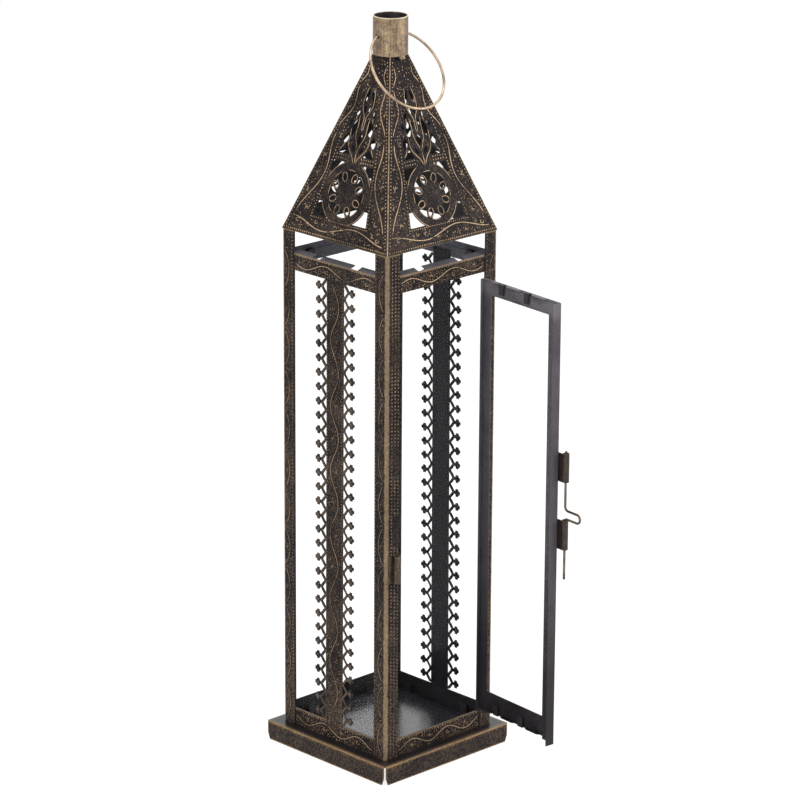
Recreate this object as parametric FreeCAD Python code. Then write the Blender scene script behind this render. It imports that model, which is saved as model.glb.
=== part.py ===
"""Tall square candle lantern in pierced and embossed sheet metal.

Frame: origin at the middle of the base's underside, +Z up, the door in the -Y side, millimetres.
The door is modelled shut and then turned open about its hinge pins, to where it stands at rest.
"""
import FreeCAD, Part
import math
import os
from FreeCAD import Vector

os.makedirs("parts", exist_ok=True)

# ---------------------------------------------------------------- driving dimensions
SHEET = 0.6                 # gauge of the body's sheet metal

BODY_SIDE = 103.0           # across the four posts
BASE_MARGIN = 8.5           # the tray that the body stands on reaches this far out all round
BASE_HEIGHT = 13.6
BASE_BEND = 1.2             # outer radius of the tray's folded edges
BASE_SLIT = 1.4             # each turned-down side stops this far short of its corner
BASE_END_CUT = (2.0, 5.0)   # bevel at a side's lower ends: along it, up it

POST_HEIGHT = 357.2
POST_FLANGE = 11.6
POST_BEND = 2.4             # outer radius of the posts' rounded fold

BOTTOM_RAIL_HEIGHT = 12.9
TOP_RAIL_HEIGHT = 12.0
VENT_GAP = 15.3             # between the top rails and the eaves
RAIL_END_GAP = 1.2          # rails run on behind the posts' flanges, to this far short of the folds
FOOT_DEPTH = 6.0            # a bottom rail's foot on the tray
FOOT_CORNER_GAP = 0.9       # between two feet at a corner
EAR_MIDDLE = 30.0           # middle one of the three ears turned in from a top rail's upper edge
EAR_GAP = 7.0
EAR_CORNER_GAP = 5.9        # between the outer ears of two rails at a corner
EAR_DEPTH = 5.0
EAR_RISE = 20.0             # degrees

STRIP_BAND = 16.6           # solid band of a fretted strip
FRET_PITCH = 10.2           # one cross to the next
FRET_REACH = 7.9            # band edge to a cross's middle
FRET_KNOT = 1.9             # band edge to the bottom of the round bay between two crosses
FRET_STUB = 1.7             # width of what joins the fringe to the band there
FRET_OPENING = 3.4          # depth of the three-cornered openings between the stubs
CROSS_SIZE = 5.6            # across a cross
CROSS_ARM = 2.2             # width of a cross's arm
STRIP_LAP = 4.6             # past the rails' edges, behind the top one and before the bottom one

GLASS = 2.0                 # thickness of every pane
GLASS_GAP = 0.2             # play between a side pane and the strip before it
PANE_CORNER_GAP = 0.5       # between two panes at a corner
PANE_BELOW_RAIL_TOP = 3.5
CLIP_SHEET = 0.5
CLIP_WIDTH = 6.0
CLIP_HEIGHT = 7.5
CLIP_OFFSET = 28.0          # clips stand this far either side of a pane's middle

DOOR_FOOT_GAP = 0.7         # above the bottom rail
DOOR_HEAD_GAP = 3.3         # below the top rail
DOOR_HINGE_GAP = 0.4
DOOR_LATCH_GAP = 0.8
DOOR_HINGE_STILE = 7.8
DOOR_LATCH_STILE = 12.0
DOOR_TOP_RAIL = 10.5
DOOR_BOTTOM_RAIL = 14.0
DOOR_TOE = 2.8              # the stiles reach this far below the bottom rail
DOOR_BEND = 1.2
DOOR_PROUD = 0.2            # the shut door's face stands this far out of the posts' face
DOOR_HINGE_RETURN = 3.9     # edge turned in along the hinge side
DOOR_LATCH_RETURN = 7.5     # the deeper edge turned in along the latch side
DOOR_LEDGE = 3.2            # scalloped ledges turned in along the top and the bottom
SCALLOP_LENGTH = 18.0
DOOR_CLIP_FROM_HINGE = (20.0, 46.0)
DOOR_CLIP = (5.0, 7.5)      # width, height
DOOR_OPEN = 85.0            # degrees from shut, as the door stands at rest

HINGE_FROM_FOOT = 34.8      # middle of the lower hinge above the door's foot
HINGE_FROM_HEAD = 35.2      # middle of the upper hinge below the door's head
HINGE_LEAF = 7.0            # length of a leaf on its face
KNUCKLE_HEIGHT = 6.0
KNUCKLE_GAP = 0.3           # between two knuckles
HINGE_SHEET = 0.5
KNUCKLE_WALL = 0.7          # of the door's knuckles
PIN_DIAMETER = 1.7
PIN_CLEARANCE = 0.05        # radial
PIN_HEAD = (2.8, 0.7)       # diameter, height

BOLT_DIAMETER = 1.7
BOLT_CLEARANCE = 0.95       # radial, in its rolled barrels
BOLT_FROM_DOOR = 4.3        # bolt's axis beyond the door's free edge
BARREL_SHEET = 0.5
BARREL_LEAF = 7.0
KEEPER_LEAF = 6.2
LOWER_BARREL_Z = 155.1      # its foot above the tray
LOWER_BARREL = 20.9         # lengths of the rolled barrels
UPPER_BARREL = 20.1
KEEPER = 19.7
BARREL_GAP = 26.9           # lower barrel to upper barrel
KEEPER_GAP = 7.2            # keeper to lower barrel
BOLT_IN_KEEPER = 13.9
BOLT_TOP_ABOVE = 1.5        # bolt stands out of the upper barrel
CRANK_REACH = 15.0
CRANK_HEIGHT = 6.0          # between the crank's two limbs
CRANK_SEAT = 0.05           # crank's lower limb above the barrel that it rests on

ROOF_HEIGHT = 120.7
TUBE_DIAMETER = 23.6
TUBE_WALL = 0.8
TUBE_HEIGHT = 26.0
RING_HOLE_ABOVE_FOOT = 13.0
RING_PLAY = 1.4             # of the ring's wire in the tube's holes, across
RING_WIRE = 1.8
RING_RADIUS = 29.3          # of the wire's middle line
RING_LEAN = 37.5            # degrees off hanging straight down, as the ring stands at rest
SOLDER_LAP = 0.37           # a bead of solder reaches this far into the roof's face

# roof ornament, in a panel's own plane: across from its middle, up the slope from its lower edge
MEDALLION = (0.0, 33.0)     # middle of the round medallion
MEDALLION_RING = (15.9, 22.0)      # inside of its ring, and clear circle round its beaded rim
PETALS = 8
PETAL_HOLE = (12.0, 5.4, 3.2)      # distance out, length, width
SPANDREL_TIP = 10.0         # inner tip of the holes between the petals
SPANDREL_HALF_ANGLE = 15.5
FIELD_BOTTOM = (25.4, 14.4)        # corners of the medallion's field: half its width, up the slope
FIELD_TOP = (19.3, 53.6)
CORNER_HOLE = (24.6, 46.0)         # where its lower and upper corner holes stop, up the slope
FAN_HOLE = ((6.6, 59.4), (16.4, 59.4), (10.6, 65.6))
# leaf-shaped slots of the tree above it: across, up, length, width, lean of the top to the middle
LEAVES = (
    (3.9, 63.4, 6.4, 2.8, -30.0),
    (12.9, 69.6, 7.6, 4.4, 14.0),
    (0.0, 70.6, 7.6, 4.4, 0.0),
    (7.2, 78.2, 12.4, 4.6, 12.0),
    (11.9, 80.6, 5.0, 1.9, 14.0),
    (3.3, 82.4, 4.4, 1.8, 0.0),
    (7.5, 88.0, 5.4, 2.4, 22.0),
    (1.9, 91.0, 6.0, 2.0, -8.0),
    (2.7, 100.0, 10.4, 2.5, 17.0),
)

# ---------------------------------------------------------------- derived places
W = BODY_SIDE / 2                       # posts' face from the middle
BASE_SIDE = BODY_SIDE + 2 * BASE_MARGIN
FLOOR_Z = BASE_HEIGHT
FOOT_TOP_Z = FLOOR_Z + SHEET
EAVES_Z = FLOOR_Z + POST_HEIGHT         # top of the posts, lower edge of the roof
RAIL_TOP_Z = EAVES_Z - VENT_GAP
TOP_RAIL_Z = RAIL_TOP_Z - TOP_RAIL_HEIGHT
STRIP_FOOT_Z = FLOOR_Z + BOTTOM_RAIL_HEIGHT
PANE_TOP_Z = RAIL_TOP_Z - PANE_BELOW_RAIL_TOP
DOOR_BOTTOM_Z = STRIP_FOOT_Z + DOOR_FOOT_GAP
DOOR_TOP_Z = TOP_RAIL_Z - DOOR_HEAD_GAP
HINGE_Z = (DOOR_BOTTOM_Z + HINGE_FROM_FOOT, DOOR_TOP_Z - HINGE_FROM_HEAD)
ROOF_TOP_Z = EAVES_Z + ROOF_HEIGHT
RING_HOLE_Z = ROOF_TOP_Z + RING_HOLE_ABOVE_FOOT

DOORWAY = W - POST_FLANGE               # half the way between two posts' flanges
RAIL_HALF = W - POST_BEND - RAIL_END_GAP
RAIL_IN = SHEET                         # a rail's outer face, in from the posts' face
RAIL_BACK = 2 * SHEET                   # and its back
GLASS_IN = 3 * SHEET + GLASS_GAP        # a side pane's outer face
PANE_HALF_WIDTH = W - GLASS_IN - GLASS - PANE_CORNER_GAP
FOOT_HALF_LENGTH = W - RAIL_IN - FOOT_DEPTH - FOOT_CORNER_GAP
EARS_HALF_LENGTH = W - RAIL_IN - EAR_DEPTH - EAR_CORNER_GAP
STRIP_LEAN = math.atan2(RAIL_BACK, TOP_RAIL_Z - STRIP_FOOT_Z)   # before one rail, behind the other

ROOF_TOP_HALF = TUBE_DIAMETER / 2 / math.sqrt(2)    # the tube stands on the roof's four corners
ROOF_RUN = W - ROOF_TOP_HALF
SLOPE = math.atan2(ROOF_RUN, ROOF_HEIGHT)           # roof's lean off vertical
SOLDER_AT = TUBE_DIAMETER / 2 - TUBE_WALL           # middle of a bead, out from the tube's axis
SOLDER_TO_ROOF = (SOLDER_AT - ROOF_TOP_HALF) * math.cos(SLOPE) - TUBE_WALL * math.sin(SLOPE)
SOLDER_RADIUS = SOLDER_TO_ROOF + SOLDER_LAP

DOOR_FACE = -DOOR_PROUD                 # door's face, in from the posts' face
DOOR_HINGE_X = DOORWAY - DOOR_HINGE_GAP
DOOR_LATCH_X = -DOORWAY + DOOR_LATCH_GAP
PIN_BORE = PIN_DIAMETER / 2 + PIN_CLEARANCE
HINGE_AXIS_OFF = PIN_BORE + KNUCKLE_WALL + DOOR_PROUD       # pin's axis out from the posts' face
HINGE = Vector(DOORWAY - DOOR_HINGE_GAP / 2, -W - HINGE_AXIS_OFF, 0)
BARREL_BORE = BOLT_DIAMETER / 2 + BOLT_CLEARANCE
BARREL_RADIUS = BARREL_BORE + BARREL_SHEET
BOLT_X = DOOR_LATCH_X - BOLT_FROM_DOOR
BOLT_Y = -W - DOOR_PROUD - BARREL_RADIUS
LOWER_BARREL_ENDS = (FLOOR_Z + LOWER_BARREL_Z, FLOOR_Z + LOWER_BARREL_Z + LOWER_BARREL)
UPPER_BARREL_FOOT = LOWER_BARREL_ENDS[1] + BARREL_GAP
UPPER_BARREL_ENDS = (UPPER_BARREL_FOOT, UPPER_BARREL_FOOT + UPPER_BARREL)
KEEPER_TOP = LOWER_BARREL_ENDS[0] - KEEPER_GAP
KEEPER_ENDS = (KEEPER_TOP - KEEPER, KEEPER_TOP)
SIDES = {"front": 0, "right": 90, "rear": 180, "left": 270}


# ---------------------------------------------------------------- helpers
def turned(shape, degrees):
    """The shape as it stands on another side of the body."""
    out = shape.copy()
    out.rotate(Vector(0, 0, 0), Vector(0, 0, 1), degrees)
    return out


def opened(shape):
    """A piece of the shut door, with the door at rest."""
    out = shape.copy()
    out.rotate(HINGE, Vector(0, 0, 1), DOOR_OPEN)
    return out


def slab(x0, x1, in0, in1, z0, z1):
    """A box on the front side: across, in from the posts' face, up."""
    return Part.makeBox(x1 - x0, in1 - in0, z1 - z0, Vector(x0, -W + in0, z0))


def outline(points):
    return Part.makePolygon([*points, points[0]])


def plate(wires, thickness):
    """A face with holes, pushed out along its normal by the vector given."""
    return Part.Face(wires).extrude(thickness)


def joined(shapes):
    first, *rest = shapes
    return first.fuse(rest).removeSplitter() if rest else first


def export(name, shape):
    shape.exportStep(f"parts/{name}.step")
    print(f"{name}: {len(shape.Solids)} solid(s), {shape.Volume:.1f} mm3, valid {shape.isValid()}")


def angle_section(leg_x, leg_y, sheet, bend):
    """Section of a folded angle in XY, its outer corner at the origin, legs along +X and +Y."""
    inner = bend - sheet
    k = math.sqrt(0.5)
    p = [
        Vector(leg_x, 0, 0), Vector(bend, 0, 0), Vector(0, bend, 0), Vector(0, leg_y, 0),
        Vector(sheet, leg_y, 0), Vector(sheet, bend, 0), Vector(bend, sheet, 0), Vector(leg_x, sheet, 0),
    ]
    outer_mid = Vector(bend - bend * k, bend - bend * k, 0)
    inner_mid = Vector(bend - inner * k, bend - inner * k, 0)
    edges = [Part.Arc(p[1], outer_mid, p[2]).toShape(), Part.Arc(p[5], inner_mid, p[6]).toShape()]
    straight = [(p[0], p[1]), (p[2], p[3]), (p[3], p[4]), (p[4], p[5]), (p[6], p[7]), (p[7], p[0])]
    edges += [Part.makeLine(a, b) for a, b in straight if (b - a).Length > 0.001]
    return Part.Wire(Part.__sortEdges__(edges))


# ---------------------------------------------------------------- base and posts
def base_pan():
    """Square tray, open below, its four sides turned down with a rounded fold."""
    half = BASE_SIDE / 2
    flat = half - BASE_BEND
    tray = [Part.makeBox(2 * flat, 2 * flat, SHEET, Vector(-flat, -flat, BASE_HEIGHT - SHEET))]
    length = half - BASE_SLIT
    cut_along, cut_up = BASE_END_CUT
    skirt_top = BASE_HEIGHT - BASE_BEND
    skirt = outline([
        Vector(-length, -half, skirt_top), Vector(length, -half, skirt_top),
        Vector(length, -half, cut_up), Vector(length - cut_along, -half, 0),
        Vector(cut_along - length, -half, 0), Vector(-length, -half, cut_up),
    ])
    side = plate([skirt], Vector(0, SHEET, 0))
    fold = Part.Face(angle_section(BASE_BEND, BASE_BEND, SHEET, BASE_BEND))
    fold = fold.extrude(Vector(0, 0, 2 * length))
    fold.rotate(Vector(0, 0, 0), Vector(0, 1, 0), 90)
    fold.translate(Vector(-length, -half, BASE_HEIGHT))
    for degrees in SIDES.values():
        tray += [turned(side, degrees), turned(fold, degrees)]
    return joined(tray)


def post():
    """Front left post: an angle with a rounded fold, standing on the tray."""
    section = angle_section(POST_FLANGE, POST_FLANGE, SHEET, POST_BEND)
    section.translate(Vector(-W, -W, FLOOR_Z))
    return Part.Face(section).extrude(Vector(0, 0, EAVES_Z - FLOOR_Z))


# ---------------------------------------------------------------- rails
def bottom_rail():
    web = slab(-RAIL_HALF, RAIL_HALF, RAIL_IN, RAIL_IN + SHEET, FLOOR_Z, FLOOR_Z + BOTTOM_RAIL_HEIGHT)
    foot = slab(-FOOT_HALF_LENGTH, FOOT_HALF_LENGTH, RAIL_IN, RAIL_IN + FOOT_DEPTH, FLOOR_Z, FOOT_TOP_Z)
    return joined([web, foot])


def top_rail():
    """Web with three ears turned in, and a little up, from its upper edge."""
    web = slab(-RAIL_HALF, RAIL_HALF, RAIL_IN, RAIL_IN + SHEET, TOP_RAIL_Z, RAIL_TOP_Z)
    middle = EAR_MIDDLE / 2
    outer = (middle + EAR_GAP, EARS_HALF_LENGTH)
    ears = []
    for x0, x1 in ((-outer[1], -outer[0]), (-middle, middle), outer):
        ear = slab(x0, x1, RAIL_IN, RAIL_IN + EAR_DEPTH, RAIL_TOP_Z - SHEET, RAIL_TOP_Z)
        ear.rotate(Vector(0, -W + RAIL_IN, RAIL_TOP_Z), Vector(1, 0, 0), EAR_RISE)
        ears.append(ear)
    return joined([web, *ears])


# ---------------------------------------------------------------- fretted strips
def cross_corners(x, z):
    """Corners of a small Greek cross, from its inner arm's lower one round to its upper one."""
    a, r = CROSS_ARM / 2, CROSS_SIZE / 2
    lower = [(-r, -a), (-a, -a), (-a, -r), (a, -r), (a, -a), (r, -a)]
    path = lower + [(dx, -dz) for dx, dz in reversed(lower)]
    return [Vector(x + dx, 0, z + dz) for dx, dz in path]


def chain(points):
    return [Part.makeLine(a, b) for a, b in zip(points, points[1:])]


def fret_edge(first_z, count):
    """One long edge of a strip, up its band, and its openings: crosses with round bays between them."""
    band = STRIP_BAND / 2
    bay_x = band + FRET_KNOT
    half_stub = FRET_STUB / 2
    edges, holes = [], []
    end = Vector(bay_x, 0, first_z - FRET_PITCH / 2)
    for i in range(count):
        z = first_z + i * FRET_PITCH
        low, high = z - FRET_PITCH / 2, z + FRET_PITCH / 2
        corners = cross_corners(band + FRET_REACH, z)
        if i:
            edges.append(Part.Arc(end, Vector(bay_x, 0, low), corners[0]).toShape())
        else:
            edges += chain([end, corners[0]])
        edges += chain(corners)
        end = corners[-1]
        tip = Vector(band + FRET_OPENING, 0, z)
        holes.append(outline([Vector(band, 0, low + half_stub), tip, Vector(band, 0, high - half_stub)]))
    edges += chain([end, Vector(bay_x, 0, high)])
    return edges, holes


def strip():
    """Band with a fretted fringe of little crosses down both edges, leaning back behind the top rail."""
    bottom, top = -STRIP_LAP, TOP_RAIL_Z - STRIP_FOOT_Z + STRIP_LAP
    count = int((top - bottom) / FRET_PITCH)
    first = (bottom + top - (count - 1) * FRET_PITCH) / 2
    half = STRIP_BAND / 2
    edges, holes = fret_edge(first, count)
    foot = first - FRET_PITCH / 2
    head = foot + count * FRET_PITCH
    edges += chain([Vector(half + FRET_KNOT, 0, foot), Vector(half, 0, foot), Vector(half, 0, bottom)])
    edges += chain([Vector(half + FRET_KNOT, 0, head), Vector(half, 0, head), Vector(half, 0, top)])
    edges += [edge.mirror(Vector(0, 0, 0), Vector(1, 0, 0)) for edge in edges]
    edges += chain([Vector(-half, 0, bottom), Vector(half, 0, bottom)])
    edges += chain([Vector(-half, 0, top), Vector(half, 0, top)])
    holes += [hole.mirror(Vector(0, 0, 0), Vector(1, 0, 0)) for hole in holes]
    through = Vector(0, SHEET, 0)
    shape = plate([Part.Wire(Part.__sortEdges__(edges))], through)
    shape = shape.cut([plate([hole], through) for hole in holes])
    shape.rotate(Vector(0, 0, 0), Vector(1, 0, 0), -math.degrees(STRIP_LEAN))
    shape.translate(Vector(0, -W, STRIP_FOOT_Z))
    return shape


# ---------------------------------------------------------------- panes and their clips
def pane():
    return slab(-PANE_HALF_WIDTH, PANE_HALF_WIDTH, GLASS_IN, GLASS_IN + GLASS, FOOT_TOP_Z, PANE_TOP_Z)


def clips():
    """Two angle clips on the foot and two hooks over the pane's top, behind the rail."""
    back = GLASS_IN + GLASS
    foot_end = RAIL_IN + FOOT_DEPTH
    over = PANE_TOP_Z + CLIP_SHEET
    made = []
    for x in (-CLIP_OFFSET, CLIP_OFFSET):
        x0, x1 = x - CLIP_WIDTH / 2, x + CLIP_WIDTH / 2
        upright = slab(x0, x1, back, back + CLIP_SHEET, FOOT_TOP_Z, FOOT_TOP_Z + CLIP_HEIGHT)
        sole = slab(x0, x1, back, foot_end, FOOT_TOP_Z, FOOT_TOP_Z + CLIP_SHEET)
        made.append(joined([upright, sole]))
        tail = slab(x0, x1, RAIL_BACK, RAIL_BACK + CLIP_SHEET, PANE_TOP_Z - CLIP_HEIGHT, over)
        bridge = slab(x0, x1, RAIL_BACK, back + CLIP_SHEET, PANE_TOP_Z, over)
        hook = slab(x0, x1, back, back + CLIP_SHEET, PANE_TOP_Z - CLIP_HEIGHT, over)
        made.append(joined([tail, bridge, hook]))
    return Part.makeCompound(made)


# ---------------------------------------------------------------- roof
def on_panel(across, up, depth=0.0):
    """A point of the front roof panel: across, up its slope, and in below its outer face."""
    run = up * math.sin(SLOPE) + depth * math.cos(SLOPE)
    rise = up * math.cos(SLOPE) - depth * math.sin(SLOPE)
    return Vector(across, -W + run, EAVES_Z + rise)


def leaf(across, up, length, width, lean):
    """Outline of a leaf-shaped hole: two arcs that meet in a point at each end."""
    lean = math.radians(lean)
    along = (-math.sin(lean) * length / 2, math.cos(lean) * length / 2)
    aside = (math.cos(lean) * width / 2, math.sin(lean) * width / 2)
    tip = on_panel(across + along[0], up + along[1])
    root = on_panel(across - along[0], up - along[1])
    right = on_panel(across + aside[0], up + aside[1])
    left = on_panel(across - aside[0], up - aside[1])
    return Part.Wire([Part.Arc(root, right, tip).toShape(), Part.Arc(tip, left, root).toShape()])


def round_medallion(distance, degrees):
    """A point of the panel at a distance and an angle from the medallion's middle."""
    a = math.radians(degrees)
    return on_panel(MEDALLION[0] + distance * math.cos(a), MEDALLION[1] + distance * math.sin(a))


def medallion_holes():
    """A flower of round-ended petals inside a ring, with a gusset hole between each two petals."""
    distance, length, width = PETAL_HOLE
    ring = MEDALLION_RING[0]
    holes = []
    for i in range(PETALS):
        between = 360 / PETALS * i
        petal = between + 180 / PETALS
        a = math.radians(petal)
        middle = (MEDALLION[0] + distance * math.cos(a), MEDALLION[1] + distance * math.sin(a))
        holes.append(leaf(*middle, length, width, petal - 90))
        tip = round_medallion(SPANDREL_TIP, between)
        ends = [round_medallion(ring, between + s * SPANDREL_HALF_ANGLE) for s in (-1, 1)]
        holes.append(Part.Wire([
            Part.makeLine(tip, ends[0]),
            Part.Arc(ends[0], round_medallion(ring, between), ends[1]).toShape(),
            Part.makeLine(ends[1], tip),
        ]))
    return holes


def corner_holes(side):
    """The two holes between the medallion's rim and the field's corners, on one side."""
    clear = MEDALLION_RING[1]
    field_slant = (FIELD_TOP[0] - FIELD_BOTTOM[0]) / (FIELD_TOP[1] - FIELD_BOTTOM[1])
    holes = []
    for (corner, level), stop in zip((FIELD_BOTTOM, FIELD_TOP), CORNER_HOLE, strict=True):
        edge = corner + (stop - level) * field_slant
        angles = [math.asin((up - MEDALLION[1]) / clear) for up in (stop, level)]
        arc = [
            on_panel(side * (MEDALLION[0] + clear * math.cos(a)), MEDALLION[1] + clear * math.sin(a))
            for a in (angles[0], sum(angles) / 2, angles[1])
        ]
        corners = [arc[2], on_panel(side * corner, level), on_panel(side * edge, stop), arc[0]]
        sides = [Part.makeLine(a, b) for a, b in zip(corners, corners[1:])]
        holes.append(Part.Wire([Part.Arc(*arc).toShape(), *sides]))
    return holes


def roof_panel():
    """One side of the roof, mitred along its ridges to the next, with its pierced ornament."""
    thick = SHEET / math.cos(SLOPE)
    rings = []
    for half, z in ((W, EAVES_Z), (ROOF_TOP_HALF, ROOF_TOP_Z)):
        inner = half - thick
        rings.append(outline([
            Vector(-half, -half, z), Vector(half, -half, z),
            Vector(inner, -inner, z), Vector(-inner, -inner, z),
        ]))
    panel = Part.makeLoft(rings, True, True)
    holes = medallion_holes() + corner_holes(-1) + corner_holes(1)
    for side in (-1, 1):
        holes.append(outline([on_panel(side * across, up) for across, up in FAN_HOLE]))
    for across, up, length, width, lean in LEAVES:
        for side in (-1, 1) if across else (1,):
            holes.append(leaf(side * across, up, length, width, side * lean))
    out = on_panel(0, 0, -1.0) - on_panel(0, 0)
    through = on_panel(0, 0, 2 * SHEET + 1.0) - on_panel(0, 0)
    cutters = []
    for hole in holes:
        hole.translate(out)
        cutters.append(plate([hole], through))
    return panel.cut(cutters)


# ---------------------------------------------------------------- chimney tube and ring
def chimney_tube():
    radius = TUBE_DIAMETER / 2
    foot = Vector(0, 0, ROOF_TOP_Z)
    tube = Part.makeCylinder(radius, TUBE_HEIGHT, foot)
    bore = Part.makeCylinder(radius - TUBE_WALL, TUBE_HEIGHT, foot)
    start = Vector(-TUBE_DIAMETER, 0, RING_HOLE_Z)
    hole_radius = (RING_WIRE + RING_PLAY) / 2
    holes = Part.makeCylinder(hole_radius, 2 * TUBE_DIAMETER, start, Vector(1, 0, 0))
    return tube.cut([bore, holes])


def tube_solder():
    """Beads of solder, front and rear, between the tube's foot and the roof's face."""
    bead = Part.makeSphere(SOLDER_RADIUS, Vector(0, -SOLDER_AT, ROOF_TOP_Z - TUBE_WALL))
    within = Part.makeCylinder(TUBE_DIAMETER / 2, TUBE_HEIGHT, Vector(0, 0, ROOF_TOP_Z))
    squares = [
        outline([Vector(-h, -h, z), Vector(h, -h, z), Vector(h, h, z), Vector(-h, h, z)])
        for h, z in ((W, EAVES_Z), (ROOF_TOP_HALF, ROOF_TOP_Z))
    ]
    bead = bead.cut([within, Part.makeLoft(squares, True, True)])
    return Part.makeCompound([turned(bead, SIDES[side]) for side in ("front", "rear")])


def ring_handle():
    """Closed wire ring through the tube's two holes."""
    drop = math.sqrt(RING_RADIUS ** 2 - (TUBE_DIAMETER / 2) ** 2)
    ring = Part.makeTorus(RING_RADIUS, RING_WIRE / 2, Vector(0, 0, RING_HOLE_Z - drop), Vector(0, 1, 0))
    ring.rotate(Vector(0, 0, RING_HOLE_Z), Vector(1, 0, 0), -RING_LEAN)
    return ring


# ---------------------------------------------------------------- door frame
def door_stile(x, width, depth, side):
    """Angle with its outer edge at x: a face and a turned-in edge. side is 1 on the hinge side."""
    stile = Part.Face(angle_section(width, depth, SHEET, DOOR_BEND))
    stile = stile.extrude(Vector(0, 0, DOOR_TOP_Z - DOOR_BOTTOM_Z))
    if side > 0:
        stile = stile.mirror(Vector(0, 0, 0), Vector(1, 0, 0))
    stile.translate(Vector(x, -W + DOOR_FACE, DOOR_BOTTOM_Z))
    return stile


def door_rail(z0, z1, ledge_z):
    """Rail between the stiles, with three scalloped ledges turned in at ledge_z, between the clips."""
    x0, x1 = DOOR_LATCH_X + DOOR_LATCH_STILE, DOOR_HINGE_X - DOOR_HINGE_STILE
    parts = [slab(x0, x1, DOOR_FACE, DOOR_FACE + SHEET, z0, z1)]
    half = DOOR_CLIP[0] / 2
    clips_at = [DOOR_HINGE_X - from_hinge for from_hinge in DOOR_CLIP_FROM_HINGE]
    ends = [x1, *[x + side * half for x in clips_at for side in (1, -1)], x0]
    y0 = -W + DOOR_FACE
    y1 = y0 + DOOR_LEDGE
    for start, stop in zip(ends[::2], ends[1::2], strict=True):
        stop = max(stop, start - SCALLOP_LENGTH)
        corner = min(DOOR_LEDGE, (start - stop) / 4)
        scallop = outline([
            Vector(start, y0, ledge_z), Vector(start - corner, y1, ledge_z),
            Vector(stop + corner, y1, ledge_z), Vector(stop, y0, ledge_z),
        ])
        parts.append(plate([scallop], Vector(0, 0, SHEET)))
    return joined(parts)


def door_glass():
    x0 = DOOR_LATCH_X + 2 * SHEET
    x1 = DOOR_HINGE_X - 2 * SHEET
    ledge = DOOR_BOTTOM_Z + DOOR_TOE + SHEET
    return slab(x0, x1, DOOR_FACE + SHEET, DOOR_FACE + SHEET + GLASS, ledge, DOOR_TOP_Z - 2 * SHEET)


def door_glass_clips():
    """Tongues that hold the pane: hung from the top rail's edge and standing on the bottom rail's."""
    width, height = DOOR_CLIP
    back = DOOR_FACE + SHEET + GLASS
    low = DOOR_BOTTOM_Z + DOOR_TOE
    made = []
    for from_hinge in DOOR_CLIP_FROM_HINGE:
        x = DOOR_HINGE_X - from_hinge
        x0, x1 = x - width / 2, x + width / 2
        for edge, far in ((DOOR_TOP_Z, DOOR_TOP_Z - height), (low, low + height)):
            lip = (edge - SHEET, edge) if far < edge else (edge, edge + SHEET)
            shelf = slab(x0, x1, DOOR_FACE + SHEET, back + CLIP_SHEET, *lip)
            tongue = slab(x0, x1, back, back + CLIP_SHEET, min(edge, far), max(edge, far))
            made.append(joined([shelf, tongue]))
    return Part.makeCompound(made)


# ---------------------------------------------------------------- hinges
def barrel(x, y, radius, bore, ends, leaf_to, face_in, sheet):
    """Rolled barrel with its axis at x, y, and its leaf flat on a face, from the axis to leaf_to."""
    z0, z1 = ends
    tube = Part.makeCylinder(radius, z1 - z0, Vector(x, y, z0))
    hole = Part.makeCylinder(bore, z1 - z0, Vector(x, y, z0))
    x0, x1 = sorted((x, leaf_to))
    leaf_plate = slab(x0, x1, face_in - sheet, face_in, z0, z1)
    return joined([tube, leaf_plate]).cut(hole)


def hinge_levels(z):
    """The heights of a hinge's three knuckles: post, door, post."""
    pitch = KNUCKLE_HEIGHT + KNUCKLE_GAP
    return [(z + i * pitch - KNUCKLE_HEIGHT / 2, z + i * pitch + KNUCKLE_HEIGHT / 2) for i in (-1, 0, 1)]


def post_hinge_leaves():
    end = HINGE.x + HINGE_LEAF
    web_start = HINGE.x + HINGE_AXIS_OFF + DOOR_HINGE_GAP
    made = []
    for z in HINGE_Z:
        low, middle, high = hinge_levels(z)
        knuckles = [
            barrel(HINGE.x, HINGE.y, HINGE_AXIS_OFF, PIN_BORE, level, end, 0.0, HINGE_SHEET)
            for level in (low, high)
        ]
        web = slab(web_start, end, -HINGE_SHEET, 0.0, low[0], high[1])
        made.append(joined([*knuckles, web]))
    return Part.makeCompound(made)


def door_hinge_leaves():
    radius = PIN_BORE + KNUCKLE_WALL
    end = HINGE.x - HINGE_LEAF
    web_start = HINGE.x - HINGE_AXIS_OFF - DOOR_HINGE_GAP
    made = []
    for z in HINGE_Z:
        low, middle, high = hinge_levels(z)
        knuckle = barrel(HINGE.x, HINGE.y, radius, PIN_BORE, middle, end, DOOR_FACE, HINGE_SHEET)
        web = slab(end, web_start, DOOR_FACE - HINGE_SHEET, DOOR_FACE, low[0], high[1])
        made.append(joined([knuckle, web]))
    return Part.makeCompound(made)


def hinge_pins():
    head_diameter, head_height = PIN_HEAD
    made = []
    for z in HINGE_Z:
        low, middle, high = hinge_levels(z)
        shank = Part.makeCylinder(PIN_DIAMETER / 2, high[1] - low[0], Vector(HINGE.x, HINGE.y, low[0]))
        heads = [
            Part.makeCylinder(head_diameter / 2, head_height, Vector(HINGE.x, HINGE.y, level))
            for level in (high[1], low[0] - head_height)
        ]
        made.append(joined([shank, *heads]))
    return Part.makeCompound(made)


# ---------------------------------------------------------------- latch
def latch_barrel(ends):
    leaf_end = DOOR_LATCH_X + BARREL_LEAF
    return barrel(BOLT_X, BOLT_Y, BARREL_RADIUS, BARREL_BORE, ends, leaf_end, DOOR_FACE, BARREL_SHEET)


def latch_keeper():
    """Rolled keeper on the left front post, in line with the shut door's barrels."""
    radius = BARREL_RADIUS + DOOR_PROUD
    leaf_end = BOLT_X - KEEPER_LEAF
    return barrel(BOLT_X, BOLT_Y, radius, radius - BARREL_SHEET, KEEPER_ENDS, leaf_end, 0.0, BARREL_SHEET)


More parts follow.
